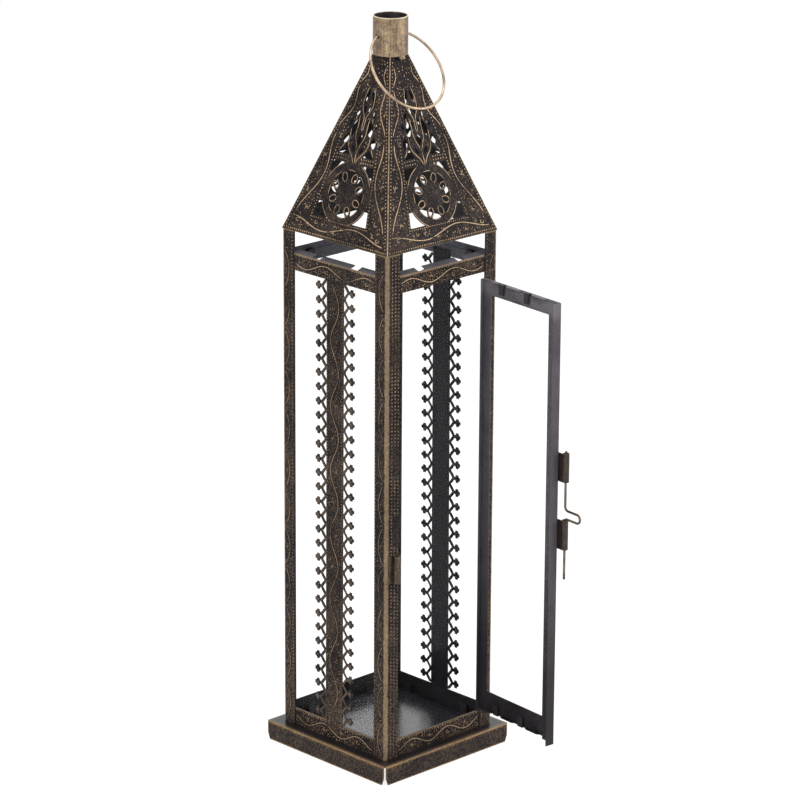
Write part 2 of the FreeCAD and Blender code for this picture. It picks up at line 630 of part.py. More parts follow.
def latch_bolt():
    """Wire bolt through both barrels, with a crank between them that rests on the lower one."""
    r = BOLT_DIAMETER / 2
    bend = CRANK_HEIGHT / 2
    seat = LOWER_BARREL_ENDS[1] + CRANK_SEAT + r
    end = KEEPER_ENDS[1] - BOLT_IN_KEEPER
    upper = seat + CRANK_HEIGHT
    reach = CRANK_REACH - bend
    k = math.sqrt(0.5)

    elbow = BOLT_DIAMETER

    def at(out, z):
        return Vector(BOLT_X - out, BOLT_Y, z)

    def line(*ends):
        return Part.makeLine(*[at(*end) for end in ends])

    def arc(*points):
        return Part.Arc(*[at(*point) for point in points]).toShape()

    path = [
        line((0, end), (0, seat - elbow)),
        arc((0, seat - elbow), (elbow - elbow * k, seat - elbow + elbow * k), (elbow, seat)),
        line((elbow, seat), (reach, seat)),
        arc((reach, seat), (reach + bend, seat + bend), (reach, upper)),
        line((reach, upper), (bend, upper)),
        arc((bend, upper), (bend - bend * k, upper + bend - bend * k), (0, upper + bend)),
        line((0, upper + bend), (0, UPPER_BARREL_ENDS[1] + BOLT_TOP_ABOVE)),
    ]
    circle = Part.Wire(Part.makeCircle(r, at(0, end), Vector(0, 0, 1)))
    return Part.Wire(path).makePipeShell([circle], True, True)


# ---------------------------------------------------------------- assembly
export("base_pan", base_pan())
for name, degrees in {"front_left": 0, "front_right": 90, "rear_right": 180, "rear_left": 270}.items():
    export(f"post_{name}", turned(post(), degrees))
for name, degrees in SIDES.items():
    export(f"bottom_rail_{name}", turned(bottom_rail(), degrees))
    export(f"top_rail_{name}", turned(top_rail(), degrees))
    export(f"roof_panel_{name}", turned(roof_panel(), degrees))
for name in ("left", "right"):
    export(f"fretted_strip_{name}", turned(strip(), SIDES[name]))
for name in ("left", "right", "rear"):
    export(f"glass_{name}", turned(pane(), SIDES[name]))
    export(f"glass_clips_{name}", turned(clips(), SIDES[name]))
export("chimney_tube", chimney_tube())
export("tube_solder", tube_solder())
export("ring_handle", ring_handle())

export("door_hinge_stile", opened(door_stile(DOOR_HINGE_X, DOOR_HINGE_STILE, DOOR_HINGE_RETURN, 1)))
export("door_latch_stile", opened(door_stile(DOOR_LATCH_X, DOOR_LATCH_STILE, DOOR_LATCH_RETURN, -1)))
export("door_top_rail", opened(door_rail(DOOR_TOP_Z - DOOR_TOP_RAIL, DOOR_TOP_Z, DOOR_TOP_Z - SHEET)))
low = DOOR_BOTTOM_Z + DOOR_TOE
export("door_bottom_rail", opened(door_rail(low, low + DOOR_BOTTOM_RAIL, low)))
export("door_glass", opened(door_glass()))
export("door_glass_clips", opened(door_glass_clips()))
export("door_hinge_leaves", opened(door_hinge_leaves()))
export("post_hinge_leaves", post_hinge_leaves())
export("hinge_pins", hinge_pins())
export("latch_barrel_upper", opened(latch_barrel(UPPER_BARREL_ENDS)))
export("latch_barrel_lower", opened(latch_barrel(LOWER_BARREL_ENDS)))
export("latch_bolt", opened(latch_bolt()))
export("latch_keeper", latch_keeper())
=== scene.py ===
# %% [markdown]
# # A tall candle lantern in pierced and embossed sheet metal
#
# The lantern stands on a folded tray. Four corner posts and eight rails hold panes of glass, the door
# stands open on its hinges, and a pierced roof ends in a short tube with a wire ring. The sheet was
# embossed with beads and vines before it was cut, painted nearly black, and rubbed with a bronze pad, so
# whatever stands up is brass and whatever lies deep stays dark. This lesson takes the finished metalwork
# as it is and adds what a maker's punches and rubbing pad add: raised work as real geometry, and a
# finish for every sheet, wire and pane.

import math
import random

import bmesh
import bpy
from mathutils import Matrix, Vector, noise
from mathutils.bvhtree import BVHTree


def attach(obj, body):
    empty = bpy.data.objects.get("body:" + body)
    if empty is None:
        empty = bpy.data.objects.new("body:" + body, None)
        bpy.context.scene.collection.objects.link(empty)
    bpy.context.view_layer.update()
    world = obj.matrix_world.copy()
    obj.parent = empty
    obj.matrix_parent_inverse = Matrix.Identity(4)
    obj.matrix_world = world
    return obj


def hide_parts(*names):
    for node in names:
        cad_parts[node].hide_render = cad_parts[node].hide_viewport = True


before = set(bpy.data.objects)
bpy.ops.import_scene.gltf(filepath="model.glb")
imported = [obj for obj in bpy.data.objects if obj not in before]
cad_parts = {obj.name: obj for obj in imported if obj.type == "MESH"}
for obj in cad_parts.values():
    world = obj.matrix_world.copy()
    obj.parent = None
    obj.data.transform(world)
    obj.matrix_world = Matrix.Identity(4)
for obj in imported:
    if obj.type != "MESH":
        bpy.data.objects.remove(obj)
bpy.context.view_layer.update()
print("pieces of metal and glass:", len(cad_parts))

# %% [markdown]
# ## The camera
#
# A photographer who wants a tall thing upright steps well back and uses a long lens, so that the posts
# stay nearly parallel. The camera looks at the corner between the left side and the doorway. It is
# placed by its turn round the lantern and its height in degrees, the way one walks round a subject.

# %% A long lens, looking at the corner beside the doorway
TURN, RISE, ROLL = math.radians(-43.86), math.radians(17.31), math.radians(0.25)
AIM, DISTANCE = Vector((0.0, 0.0, 0.260)), 2.664

camera_data = bpy.data.cameras.new("long_lens")
camera_data.lens = 175.6
camera_data.sensor_width = 36.0
camera_data.shift_x, camera_data.shift_y = 0.01375, -0.018
camera = bpy.data.objects.new("camera", camera_data)
bpy.context.scene.collection.objects.link(camera)
towards_camera = Vector((math.sin(TURN) * math.cos(RISE), -math.cos(TURN) * math.cos(RISE), math.sin(RISE)))
camera.location = AIM + towards_camera * DISTANCE
upright = towards_camera.to_track_quat("Z", "Y").to_matrix()
camera.rotation_euler = (upright @ Matrix.Rotation(ROLL, 3, "Z")).to_euler()
bpy.context.scene.camera = camera
print("camera stands at, m:", [round(v, 3) for v in camera.location])

# %% [markdown]
# ## Writing finishes as arithmetic
#
# A finish is a recipe: "where the fold is, and where the pad caught the grain, let brass show". Wiring
# that by hand takes dozens of small nodes. Here one class wraps a socket, so that recipes read as sums
# and products, and one method adds any other node: its settings first, then what goes into its sockets.

# %% A socket that takes part in arithmetic, and a finish that owns them
class Reading:
    """One output socket of a finish: how much of something there is at each point of a surface."""

    def __init__(self, finish, socket):
        self.finish, self.socket = finish, socket

    def math(self, operation, *inputs):
        return self.finish.node("ShaderNodeMath", {"operation": operation}, dict(enumerate(inputs)))

    def __add__(self, other): return self.math("ADD", self, other)
    def __radd__(self, other): return self.math("ADD", other, self)
    def __sub__(self, other): return self.math("SUBTRACT", self, other)
    def __rsub__(self, other): return self.math("SUBTRACT", other, self)
    def __mul__(self, other): return self.math("MULTIPLY", self, other)
    def __rmul__(self, other): return self.math("MULTIPLY", other, self)
    def __abs__(self): return self.math("ABSOLUTE", self)

    def least(self, other): return self.math("MINIMUM", self, other)
    def most(self, other): return self.math("MAXIMUM", self, other)

    def fade(self, start, stop):
        """0 before start, 1 after stop, smooth in between; start may be the larger."""
        settings = {"interpolation_type": "SMOOTHSTEP", "clamp": True}
        low, high, first, last = (start, stop, 0.0, 1.0) if start < stop else (stop, start, 1.0, 0.0)
        return self.finish.node("ShaderNodeMapRange", settings, {0: self, 1: low, 2: high, 3: first, 4: last})


class Finish:
    """A material, and the readings that its recipe works with."""

    def __init__(self, name):
        self.material = bpy.data.materials.new(name)
        self.material.use_nodes = True
        self.tree = self.material.node_tree
        self.tree.nodes.clear()

    def node(self, kind, settings=None, sockets=None, output=0):
        made = self.tree.nodes.new(kind)
        for key, value in (settings or {}).items():
            setattr(made, key, value)
        for key, value in (sockets or {}).items():
            if isinstance(value, Reading):
                self.tree.links.new(value.socket, made.inputs[key])
            else:
                made.inputs[key].default_value = value
        return Reading(self, made.outputs[output])

    def place(self):
        """Where a point lies on the lantern, in millimetres: across, back, up."""
        where = self.node("ShaderNodeTexCoord", output="Object")
        split = {0: where}
        return [self.node("ShaderNodeSeparateXYZ", {}, split, axis) * 1000.0 for axis in "XYZ"]

    def facing(self):
        """The way a point of the surface faces, as three numbers from -1 to 1."""
        way = self.node("ShaderNodeTexCoord", output="Normal")
        return [self.node("ShaderNodeSeparateXYZ", {}, {0: way}, axis) for axis in "XYZ"]

    def grain(self, size, detail=3.0, roughness=0.55, stretch=(1.0, 1.0, 1.0), seed=0.0):
        """Cloudy noise whose lumps are about so many millimetres across."""
        where = self.node("ShaderNodeTexCoord", output="Object")
        scaled = self.node("ShaderNodeMapping", {}, {0: where, 1: (seed, seed, seed), 3: stretch})
        sockets = {"Vector": scaled, "Scale": 1000.0 / size, "Detail": detail, "Roughness": roughness}
        return self.node("ShaderNodeTexNoise", {}, sockets, "Fac")

    def blend(self, amount, first, second):
        """First colour where the amount is 0, second where it is 1."""
        settings = {"data_type": "RGBA", "clamp_factor": True}
        colours = {6: self.colour(first), 7: self.colour(second)}
        return self.node("ShaderNodeMix", settings, {0: amount, **colours}, 2)

    @staticmethod
    def colour(value):
        return value if isinstance(value, Reading) else (*value, 1.0)

    def bump(self, height, depth, strength):
        """A normal that tilts as if the surface stood up by height, 0 to 1, times depth in millimetres."""
        sockets = {"Height": height, "Distance": depth / 1000.0, "Strength": strength}
        return self.node("ShaderNodeBump", {}, sockets, "Normal")

    def metalwork(self, colour, roughness, metallic, normal, **rest):
        sockets = {"Base Color": colour, "Roughness": roughness, "Metallic": metallic, "Normal": normal, **rest}
        return self.surface(self.node("ShaderNodeBsdfPrincipled", {}, sockets))

    def surface(self, shader):
        self.tree.links.new(shader.socket, self.tree.nodes.new("ShaderNodeOutputMaterial").inputs["Surface"])
        return self.material


print("readings can be added, multiplied, compared and faded")

# %% [markdown]
# ## Floor, light and a white room
#
# The lantern was photographed on white paper that sweeps up behind it. The floor here is a large pale
# sheet, and the room is white wherever the camera, a mirror-like surface or a pane looks at it. What
# falls on the metal is kept apart from that: an even level from all round, and soft boxes at left, right
# and above that give the folds a bright side and a dark side.

# %% A floor that is white to look at and still takes the shadow
def white_to_look_at(finish):
    """1 for the rays that only look: the camera's, a reflection's, or one through glass."""
    paths = [finish.node("ShaderNodeLightPath", output=name) for name in
             ("Is Camera Ray", "Is Glossy Ray", "Is Transmission Ray")]
    return paths[0].most(paths[1]).most(paths[2])


def paper_floor():
    paper = Finish("white_paper")
    looked_at = white_to_look_at(paper)
    matt = paper.blend(looked_at, (0.80, 0.80, 0.80), (0.32, 0.32, 0.32))
    glow = paper.blend(looked_at, (0.0, 0.0, 0.0), (0.83, 0.83, 0.83))
    sockets = {"Base Color": matt, "Roughness": 1.0, "Specular IOR Level": 0.0,
               "Emission Color": glow, "Emission Strength": 1.0}
    paper.surface(paper.node("ShaderNodeBsdfPrincipled", {}, sockets))
    mesh = bpy.data.meshes.new("floor")
    mesh.from_pydata([(-6, -6, 0), (6, -6, 0), (6, 6, 0), (-6, 6, 0)], [], [(0, 1, 2, 3)])
    mesh.materials.append(paper.material)
    floor = bpy.data.objects.new("floor", mesh)
    bpy.context.scene.collection.objects.link(floor)


paper_floor()

# %% The room's even level, and three soft boxes
ROOM_LEVEL, LANTERN_MIDDLE = 0.45, Vector((0.0, 0.0, 0.25))
bpy.context.scene.view_settings.view_transform = "Standard"
world = bpy.data.worlds.new("white_room")
world.use_nodes = True
bpy.context.scene.world = world
room = Finish.__new__(Finish)
room.tree = world.node_tree
room.tree.nodes.clear()
level = white_to_look_at(room) * (1.0 - ROOM_LEVEL) + ROOM_LEVEL
backdrop = room.node("ShaderNodeBackground", {}, {"Color": (1.0, 1.0, 1.0, 1.0), "Strength": level})
room.tree.links.new(backdrop.socket, room.tree.nodes.new("ShaderNodeOutputWorld").inputs["Surface"])


def soft_box(name, place, size, watts):
    lamp = bpy.data.lights.new(name, "AREA")
    lamp.shape, lamp.size, lamp.size_y, lamp.energy = "RECTANGLE", size[0], size[1], watts
    box = bpy.data.objects.new(name, lamp)
    box.location = place
    box.rotation_euler = (Vector(place) - LANTERN_MIDDLE).to_track_quat("Z", "Y").to_euler()
    bpy.context.scene.collection.objects.link(box)


soft_box("soft_box_left", (-1.7, -0.5, 1.0), (0.9, 1.3), 11.0)
soft_box("soft_box_right", (1.3, -1.5, 0.9), (0.8, 1.2), 16.0)
soft_box("soft_box_top", (0.0, 0.2, 1.9), (1.2, 1.2), 14.0)
print("room level", ROOM_LEVEL, "and three soft boxes")

# %% [markdown]
# ## Raised work
#
# A punch drives each bead up from behind, and a blunt liner pushes up the vines. In a render a texture
# could fake both, but a bead catches light on its own side and stands out against the sky at an edge, so
# here they are low domes and half-round ridges, joined into one mesh for each sheet. Every sheet has its
# own flat plane, across, up and out, and the ornament is drawn there in millimetres. A value on each
# point remembers how far it stands up, so that the rubbing pad can find the tops.

# %% The planes that the sheets lie in, from the lantern's own sizes in millimetres
W = 51.5                                        # posts' outer face from the middle
TRAY_HALF = 60.0
TRAY_TOP, BOTTOM_RAIL_HEAD, RAIL_FOOT, RAIL_HEAD, EAVES = 13.6, 26.5, 343.5, 355.5, 370.8
TUBE_FOOT, TUBE_HEAD = 491.5, 517.5
SHEET = 0.6                                     # the rails stand behind the posts by this
DOORWAY = 39.9                                  # half the opening between two posts
HINGE = Vector((39.7, -53.3, 0.0))
SIDES = {"front": 0.0, "right": 90.0, "rear": 180.0, "left": 270.0}
ROOF_TOP_HALF, ROOF_HEIGHT = 8.344, 120.7
ROOF_SLOPE = math.atan2(W - ROOF_TOP_HALF, ROOF_HEIGHT)
ROOF_LENGTH = math.hypot(W - ROOF_TOP_HALF, ROOF_HEIGHT)


def turned(degrees):
    return Matrix.Rotation(math.radians(degrees), 4, "Z")


def sheet_plane(side, inset=0.0, height=0.0, lean=0.0):
    """The plane of a sheet on a side: inset from the posts' face, its zero at height, leaning in by lean."""
    basis = Matrix.Rotation(math.pi / 2 - lean, 4, "X")
    return turned(SIDES[side]) @ Matrix.Translation((0.0, -W + inset, height)) @ basis


def door_plane():
    """The door's outer face, as the door stands open at 85 degrees."""
    swing = Matrix.Translation(HINGE) @ turned(85.0) @ Matrix.Translation(-HINGE)
    return swing @ sheet_plane("front", inset=-0.2)


print("roof leans in", round(math.degrees(ROOF_SLOPE), 2), "degrees, up", round(ROOF_LENGTH, 1), "mm of sheet")


# %% Beads, vines, sprigs and curls
class RaisedWork:
    """The raised work of one sheet, drawn across, up and out in the sheet's own plane."""

    CELL = 4                                    # size of the map that marks are kept in, mm
    TOUCHING = 0.0003                           # a spot lies on the sheet if it is this near, m
    DOME = ((1.0, -0.35), (0.80, 0.60), (0.42, 0.93))
    RIB = ((-1.0, -0.35), (-0.82, 0.50), (-0.38, 0.94), (0.38, 0.94), (0.82, 0.50), (1.0, -0.35))

    def __init__(self, name, nodes, plane, seed=1):
        self.name, self.plane, self.hand = name, plane, random.Random(seed)
        self.points, self.faces, self.stands, self.marks, self.covered = [], [], [], {}, []
        corners, sheets = [], []
        for node in nodes:
            mesh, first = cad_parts[node].data, len(corners)
            corners += [v.co.copy() for v in mesh.vertices]
            sheets += [[first + v for v in face.vertices] for face in mesh.polygons]
        self.metal = BVHTree.FromPolygons(corners, sheets)

    def on_metal(self, x, y, reach):
        """Whether there is sheet under the whole of a round spot, and nothing closes against it."""
        room = reach + 0.4
        for low, high in self.covered:
            if low[0] - room < x < high[0] + room and low[1] - room < y < high[1] + room:
                return False
        turns = (0.0, 1.05, 2.1, 3.15, 4.2, 5.25)
        spots = [(x + reach * math.cos(a), y + reach * math.sin(a), 0.0) for a in turns]
        return all(self.metal.find_nearest(self.plane @ Vector(s) * 0.001)[3] < self.TOUCHING for s in spots)

    def mark(self, x, y, reach):
        self.marks.setdefault((int(x // self.CELL), int(y // self.CELL)), []).append((x, y, reach))

    def bare(self, x, y, reach):
        """Whether a round spot keeps clear of everything drawn so far."""
        i, j = int(x // self.CELL), int(y // self.CELL)
        cells = [(a, b) for a in (i - 1, i, i + 1) for b in (j - 1, j, j + 1)]
        near = [m for cell in cells for m in self.marks.get(cell, ())]
        return all(math.dist((x, y), m[:2]) > reach + m[2] for m in near)

    def add(self, across, up, out, stands):
        self.points.append((across, up, out))
        self.stands.append(stands)
        return len(self.points) - 1

    def bead(self, x, y, radius=0.66, height=0.42, sides=8, anywhere=False):
        if not anywhere and not self.on_metal(x, y, 0.8 * radius):
            return
        self.mark(x, y, radius)
        rings = []
        for out_from, level in self.DOME:
            ring = []
            for k in range(sides):
                a = 2 * math.pi * k / sides
                place = (x + radius * out_from * math.cos(a), y + radius * out_from * math.sin(a))
                ring.append(self.add(*place, level * height, max(0.0, level)))
            rings.append(ring)
        top = self.add(x, y, height, 1.0)
        for low, high in zip(rings, rings[1:]):
            self.faces += [(low[k], low[k - sides + 1], high[k - sides + 1], high[k]) for k in range(sides)]
        self.faces += [(rings[-1][k], rings[-1][k - sides + 1], top) for k in range(sides)]
        self.faces.append(tuple(reversed(rings[0])))

    def bead_row(self, start, end, pitch=2.3, **bead):
        length = math.dist(start, end)
        count = max(1, round(length / pitch))
        for k in range(count + 1):
            t = k / count
            self.bead(*(a + (b - a) * t + self.hand.uniform(-0.07, 0.07) for a, b in zip(start, end)), **bead)

    def vine(self, path, width=1.0, height=0.42, taper=2.5):
        """A half-round ridge along a path of points, wherever there is metal under it."""
        run = []
        for spot in [*path, None]:
            if spot is not None and self.on_metal(*spot, 0.2 * width):
                run.append(spot)
                continue
            if len(run) > 2:
                self.ridge(run, width, height, taper)
            run = []

    def ridge(self, path, width, height, taper):
        lengths = [0.0]
        for a, b in zip(path, path[1:]):
            lengths.append(lengths[-1] + math.dist(a, b))
        rings = []
        for k, (x, y) in enumerate(path):
            self.mark(x, y, 0.7 * width)
            before, after = path[max(0, k - 1)], path[min(len(path) - 1, k + 1)]
            run = math.atan2(after[1] - before[1], after[0] - before[0])
            thin = min(1.0, 0.3 + min(lengths[k], lengths[-1] - lengths[k]) / taper)
            side = (-math.sin(run) * width / 2 * thin, math.cos(run) * width / 2 * thin)
            rings.append([self.add(x + s * side[0], y + s * side[1], level * height * thin, max(0.0, level))
                          for s, level in self.RIB])
        count = len(self.RIB)
        for low, high in zip(rings, rings[1:]):
            self.faces += [(low[k], high[k], high[k - count + 1], low[k - count + 1]) for k in range(count)]
        self.faces += [tuple(rings[0]), tuple(reversed(rings[-1]))]

    def curl(self, x, y, size, start, turns=0.9, hand=1):
        """A tendril that winds in on itself."""
        steps = max(6, int(turns * 12))
        path = []
        for k in range(steps + 1):
            t = k / steps
            a = start + hand * 2 * math.pi * turns * t
            r = size * (1.0 - 0.66 * t)
            path.append((x + 1.2 * r * math.cos(a), y + r * math.sin(a)))
        self.vine(path, width=0.66, height=0.34, taper=1.2)

    def stroke(self, x, y, length, turn, bend=0.9, width=0.72):
        """One short bent dab of the liner."""
        path = []
        for k in range(5):
            t = k / 4 - 0.5
            way = turn + bend * t
            path.append((x + length * t * math.cos(way), y + length * t * math.sin(way)))
        self.vine(path, width, 0.34, taper=0.6)

    def sprig(self, x, y, turn, size=1.0):
        """A bent stem with two leaves and a berry at its tip."""
        c, s = size * math.cos(turn), size * math.sin(turn)
        leaves = (((-2.8, -0.6), (-1.3, 0.1), (0.3, 0.15), (1.8, -0.4)),
                  ((-1.3, 0.3), (-0.6, 1.15), (0.6, 1.6)),
                  ((-0.3, -0.3), (0.5, -1.2), (1.6, -1.6)))
        for leaf in leaves:
            self.vine([(x + a * c - b * s, y + a * s + b * c) for a, b in leaf], 0.8 * size, 0.38, 0.8)
        self.bead(x + 2.9 * c + 0.6 * s, y + 2.9 * s - 0.6 * c, 0.6 * size)

    def blossom(self, x, y, size=2.4, turn=0.0):
        """Four drop-shaped petals, no two quite the same, round a bead."""
        self.bead(x, y, 0.5)
        for k in range(4):
            a = turn + math.pi / 2 * k + self.hand.uniform(-0.2, 0.2)
            long = size * self.hand.uniform(0.75, 1.05)
            self.vine([(x + r * long * math.cos(a), y + r * long * math.sin(a)) for r in (0.4, 0.7, 1.0)],
                      width=0.95, height=0.4, taper=0.8)

    def scatter(self, low, high, tries, inside=lambda x, y: True, radius=(0.42, 0.66), gap=0.5, share=-0.2):
        """Fill what is bare inside a box: mostly beads, some short dabs, in clusters as a hand does it."""
        for _ in range(tries):
            x, y = self.hand.uniform(low[0], high[0]), self.hand.uniform(low[1], high[1])
            r = self.hand.uniform(*radius)
            crowd = noise.noise(Vector((x / 6.0, y / 6.0, self.hand.random() * 0.2)))
            if crowd < share or not inside(x, y) or not self.on_metal(x, y, r + 0.6):
                continue
            if self.hand.random() < 0.72:
                if self.bare(x, y, r + gap):
                    self.bead(x, y, r, 0.36, 6)
            elif self.bare(x, y, 1.1 + gap):
                self.stroke(x, y, self.hand.uniform(1.5, 2.4), self.hand.uniform(0.0, math.pi),
                            self.hand.uniform(-1.4, 1.4))

    def make(self, material, body):
        mesh = bpy.data.meshes.new(self.name)
        placed = [tuple((self.plane @ Vector(p)) * 0.001) for p in self.points]
        mesh.from_pydata(placed, [], self.faces)
        mesh.polygons.foreach_set("use_smooth", [True] * len(mesh.polygons))
        mesh.attributes.new("stands_up", "FLOAT", "POINT").data.foreach_set("value", self.stands)
        mesh.materials.append(material)
        mesh.update()
        piece = bpy.data.objects.new(self.name, mesh)
        bpy.context.scene.collection.objects.link(piece)
        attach(piece, body)
        print(f"{self.name}: {len(mesh.polygons)} faces")


def wave(start, end, step, across):
    """Points up a sheet from start to end, with across(up) giving the place across."""
    count = max(2, round(abs(end - start) / step))
    ups = [start + (end - start) * k / count for k in range(count + 1)]
    return [(across(up), up) for up in ups]


# %% [markdown]
# ## The rubbed finish of the raised work
#
# The pad leaves metal on top of each bead and ridge and never reaches the foot. The finish reads the
# height that each point remembers and lets a little grain break it up, so no two beads match. Brass is
# a metal and the paint round it is not, so both the colour and how metallic it is follow one reading. The
# roof and rails were rubbed hardest. On posts, strips and door the pad only dulled the paint, so they get
# a version with less to show, and the fringe of the strips, thin and springy, gets the least.

# %% Brass or bronze on the tops, dark paint at the feet
# The near-black paint. The same colour is also laid on the tray's top as painted shade.
BLACK_PAINT_AND_SHADE = (0.0092, 0.0074, 0.0088)
UMBER = (0.035, 0.0265, 0.0245)
BRONZE = (0.170, 0.119, 0.085)
BRASS = (0.50, 0.355, 0.220)
GILT = (0.40, 0.245, 0.105)
# The second grey is a painted highlight: the pale band along the door's head.
CHARCOAL, PAINTED_HIGHLIGHT_GREY = (0.021, 0.019, 0.022), (0.30, 0.27, 0.30)
PAINTED = {"Specular IOR Level": 0.12}          # matt paint: little of the white room shows in it


def raised_finish(name, metal, show):
    finish = Finish(name)
    stands = finish.node("ShaderNodeAttribute", {"attribute_name": "stands_up"}, {}, "Fac")
    pad = finish.grain(22.0, 2.0)
    reached = stands * 1.1 + (pad - 0.5) * 1.3 + (finish.grain(1.1) - 0.5) * 1.3
    worn = reached.fade(0.48, 1.12) * show
    colour = finish.blend(worn, finish.blend(pad.fade(0.4, 0.8), BLACK_PAINT_AND_SHADE, UMBER), metal)
    normal = finish.bump(finish.grain(0.35), 0.05, 0.6)
    return finish.metalwork(colour, 0.60 - worn * 0.2, worn * 0.6 + 0.05, normal, **PAINTED)


RAISED_ROOF = raised_finish("raised_work_on_the_roof", BRASS, 0.95)
RAISED_WALLS = raised_finish("raised_work_on_the_walls", (0.33, 0.235, 0.148), 0.85)
FRINGE = raised_finish("fringe_of_the_strips", (0.150, 0.115, 0.092), 0.75)
print("three finishes for raised work")

# %% [markdown]
# ## The roof's raised work
#
# Each roof sheet has a beaded border on all its edges, a vine that runs in an S along the eaves, and
# bow-shaped vines up both ridges. Inside the border a beaded frame holds the pierced medallion: a plain
# matted disc with petals round it, each petal outlined by two bent ridges. Stems part and meet between
# the leaf-shaped holes above. Whatever stays bare is punched full of beads and dabs. One sheet is drawn,
# and then made four times with its own scatter, because a hand never repeats itself exactly.

# %% One roof sheet, drawn from the eaves up
MEDALLION = Vector((0.0, 33.0))


def ridge_at(up):
    """Half the sheet's width at a height up its slope."""
    return W - (W - ROOF_TOP_HALF) * up / ROOF_LENGTH


def frame_at(up):
    """The beaded frame inside the border: how far out it stands at a height."""
    return 26.9 - (up - 13.0) * 0.158 if up < 64 else 18.84 - (up - 64.0) * 0.19


def roof_border(work):
    eaves = ridge_at(1.8) - 1.8
    work.bead_row((-eaves, 1.8), (eaves, 1.8), pitch=2.0, radius=0.70, height=0.55)
    inner = frame_at(13.0) - 2.0
    work.bead_row((-inner, 13.0), (inner, 13.0), pitch=1.95, radius=0.56, height=0.45)
    for s in (-1, 1):
        work.bead_row((s * (ridge_at(4.2) - 2.1), 4.2), (s * (ridge_at(124.0) - 2.1), 124.0), pitch=2.4)
        work.bead_row((s * frame_at(13.0), 13.0), (s * frame_at(64.0), 64.0), pitch=2.25, radius=0.62)
        work.bead_row((s * frame_at(66.3), 66.3), (s * frame_at(98.0), 98.0), pitch=2.4, radius=0.6)
        for up in (55.6, 58.0):
            work.bead_row((s * 17.4, up), (s * 8.6, up), pitch=2.2, radius=0.6)


def roof_vines(work):
    for start, end in ((-44.5, -8.0), (-7.0, 20.0), (19.0, 45.0)):
        eaves = wave(start, end, 1.2, lambda u: 8.0 - 3.1 * math.cos(2 * math.pi * (u + 14.0) / 60.0))
        work.vine([(u, v) for v, u in eaves], 1.0)
    bows = ((13.5, 71.0, 4.6, 12.4), (76.0, 106.0, 3.8, 8.2), (108.0, 121.0, 3.4, 5.2))
    beside = ((43.0, 6.2, 1.8, 1.15), (30.0, 4.9, 1.2, 0.8), (55.0, 4.6, 2.2, 0.8),
              (90.0, 4.2, 1.7, 0.75), (18.0, 12.6, 2.6, 1.0), (70.0, 9.4, 0.9, 0.8))
    for s in (-1, 1):
        for start, end, near, far in bows:
            bow = wave(start, end, 1.2, lambda v: s * (ridge_at(v) - near - (far - near) * (
                0.5 - 0.5 * math.cos(2 * math.pi * (v - start) / (end - start)))))
            work.vine(bow, 1.05)
        for up, off, turn, size in beside:
            lean = work.hand.uniform(-0.3, 0.3)
            work.sprig(s * (ridge_at(up) - off), up, turn + lean if s > 0 else math.pi - turn - lean, size)
        work.curl(s * 38.5, 8.4, 1.7, 0.4, hand=-s)
    work.blossom(-35.0, 5.6, 2.3, math.radians(8))
    work.blossom(16.5, 5.4, 2.4, math.radians(14))
    sprigs = ((-28.0, 7.2, 0.2), (23.5, 5.8, 0.3), (-14.0, 9.6, 1.2), (-2.5, 5.4, 0.1), (33.0, 10.2, 2.4))
    for across, up, turn in sprigs:
        work.sprig(across, up, turn + work.hand.uniform(-0.2, 0.2), 0.8)
    work.curl(-20.5, 9.8, 1.4, 2.0)
    work.curl(4.0, 9.6, 1.2, 0.5, hand=-1)


def around(distance, aside, degrees):
    """A spot by its distance out from the medallion's middle, and aside, in a direction."""
    a = math.radians(degrees)
    x = MEDALLION.x + distance * math.cos(a) - aside * math.sin(a)
    return (x, MEDALLION.y + distance * math.sin(a) + aside * math.cos(a))


def roof_medallion(work):
    for k in range(8):
        for bulge in (-1, 1):
            petal = [around(12.0 - 3.2 * math.cos(t), bulge * 2.25 * math.sin(t), 22.5 + 45 * k)
                     for t in (math.pi * j / 8 for j in range(9))]
            work.vine(petal, 0.72, 0.42, taper=1.4)
        rim = [around(16.4, 0.0, 45 * k + off) for off in range(-13, 14, 3)]
        work.vine(rim, 0.6, 0.3, taper=2.0)
    for corner in (45, 135, 225, 315):
        work.vine([around(21.6, 0.0, corner + off) for off in range(-24, 25, 4)], 0.7, 0.38, taper=3.0)
    for s in (-1, 1):
        work.vine([(s * (frame_at(up) - 2.0), up) for up in range(15, 26)], 0.75, 0.4, taper=2.0)
        work.vine([(s * (frame_at(up) - 2.0), up) for up in range(44, 54)], 0.75, 0.4, taper=2.0)


def roof_tree(work):
    """Stems that part and meet between the leaf-shaped holes."""
    work.vine([(0.0, 53.0), (0.3, 56.0), (0.0, 60.0), (0.2, 64.0)], 0.8, 0.42, 1.5)
    stems = (
        ((1.0, 54.0), (2.6, 57.6), (5.6, 60.8), (8.4, 64.0), (9.6, 68.0), (9.4, 72.5), (9.9, 76.5)),
        ((0.9, 64.4), (2.4, 68.4), (4.4, 72.0), (4.6, 76.6), (4.4, 81.0), (4.9, 86.0)),
        ((0.5, 76.0), (1.0, 80.5), (0.6, 85.5), (4.0, 90.5), (5.2, 95.5), (3.0, 106.5)),
        ((16.4, 60.8), (13.8, 63.6), (12.6, 66.8), (13.4, 70.4)),
        ((8.0, 78.0), (8.2, 83.0), (6.6, 88.0), (7.0, 93.0)),
    )
    for s in (-1, 1):
        for stem in stems:
            work.vine([(s * x, y) for x, y in smooth(stem)], 0.78, 0.42, 2.0)


def smooth(path):
    """The same path with the corners taken off, as a steady hand would draw it."""
    for _ in range(2):
        inner = [[(a[0] * f + b[0] * (1 - f), a[1] * f + b[1] * (1 - f)) for f in (0.75, 0.25)]
                 for a, b in zip(path, path[1:])]
        path = [path[0], *(spot for pair in inner for spot in pair), path[-1]]
    return path


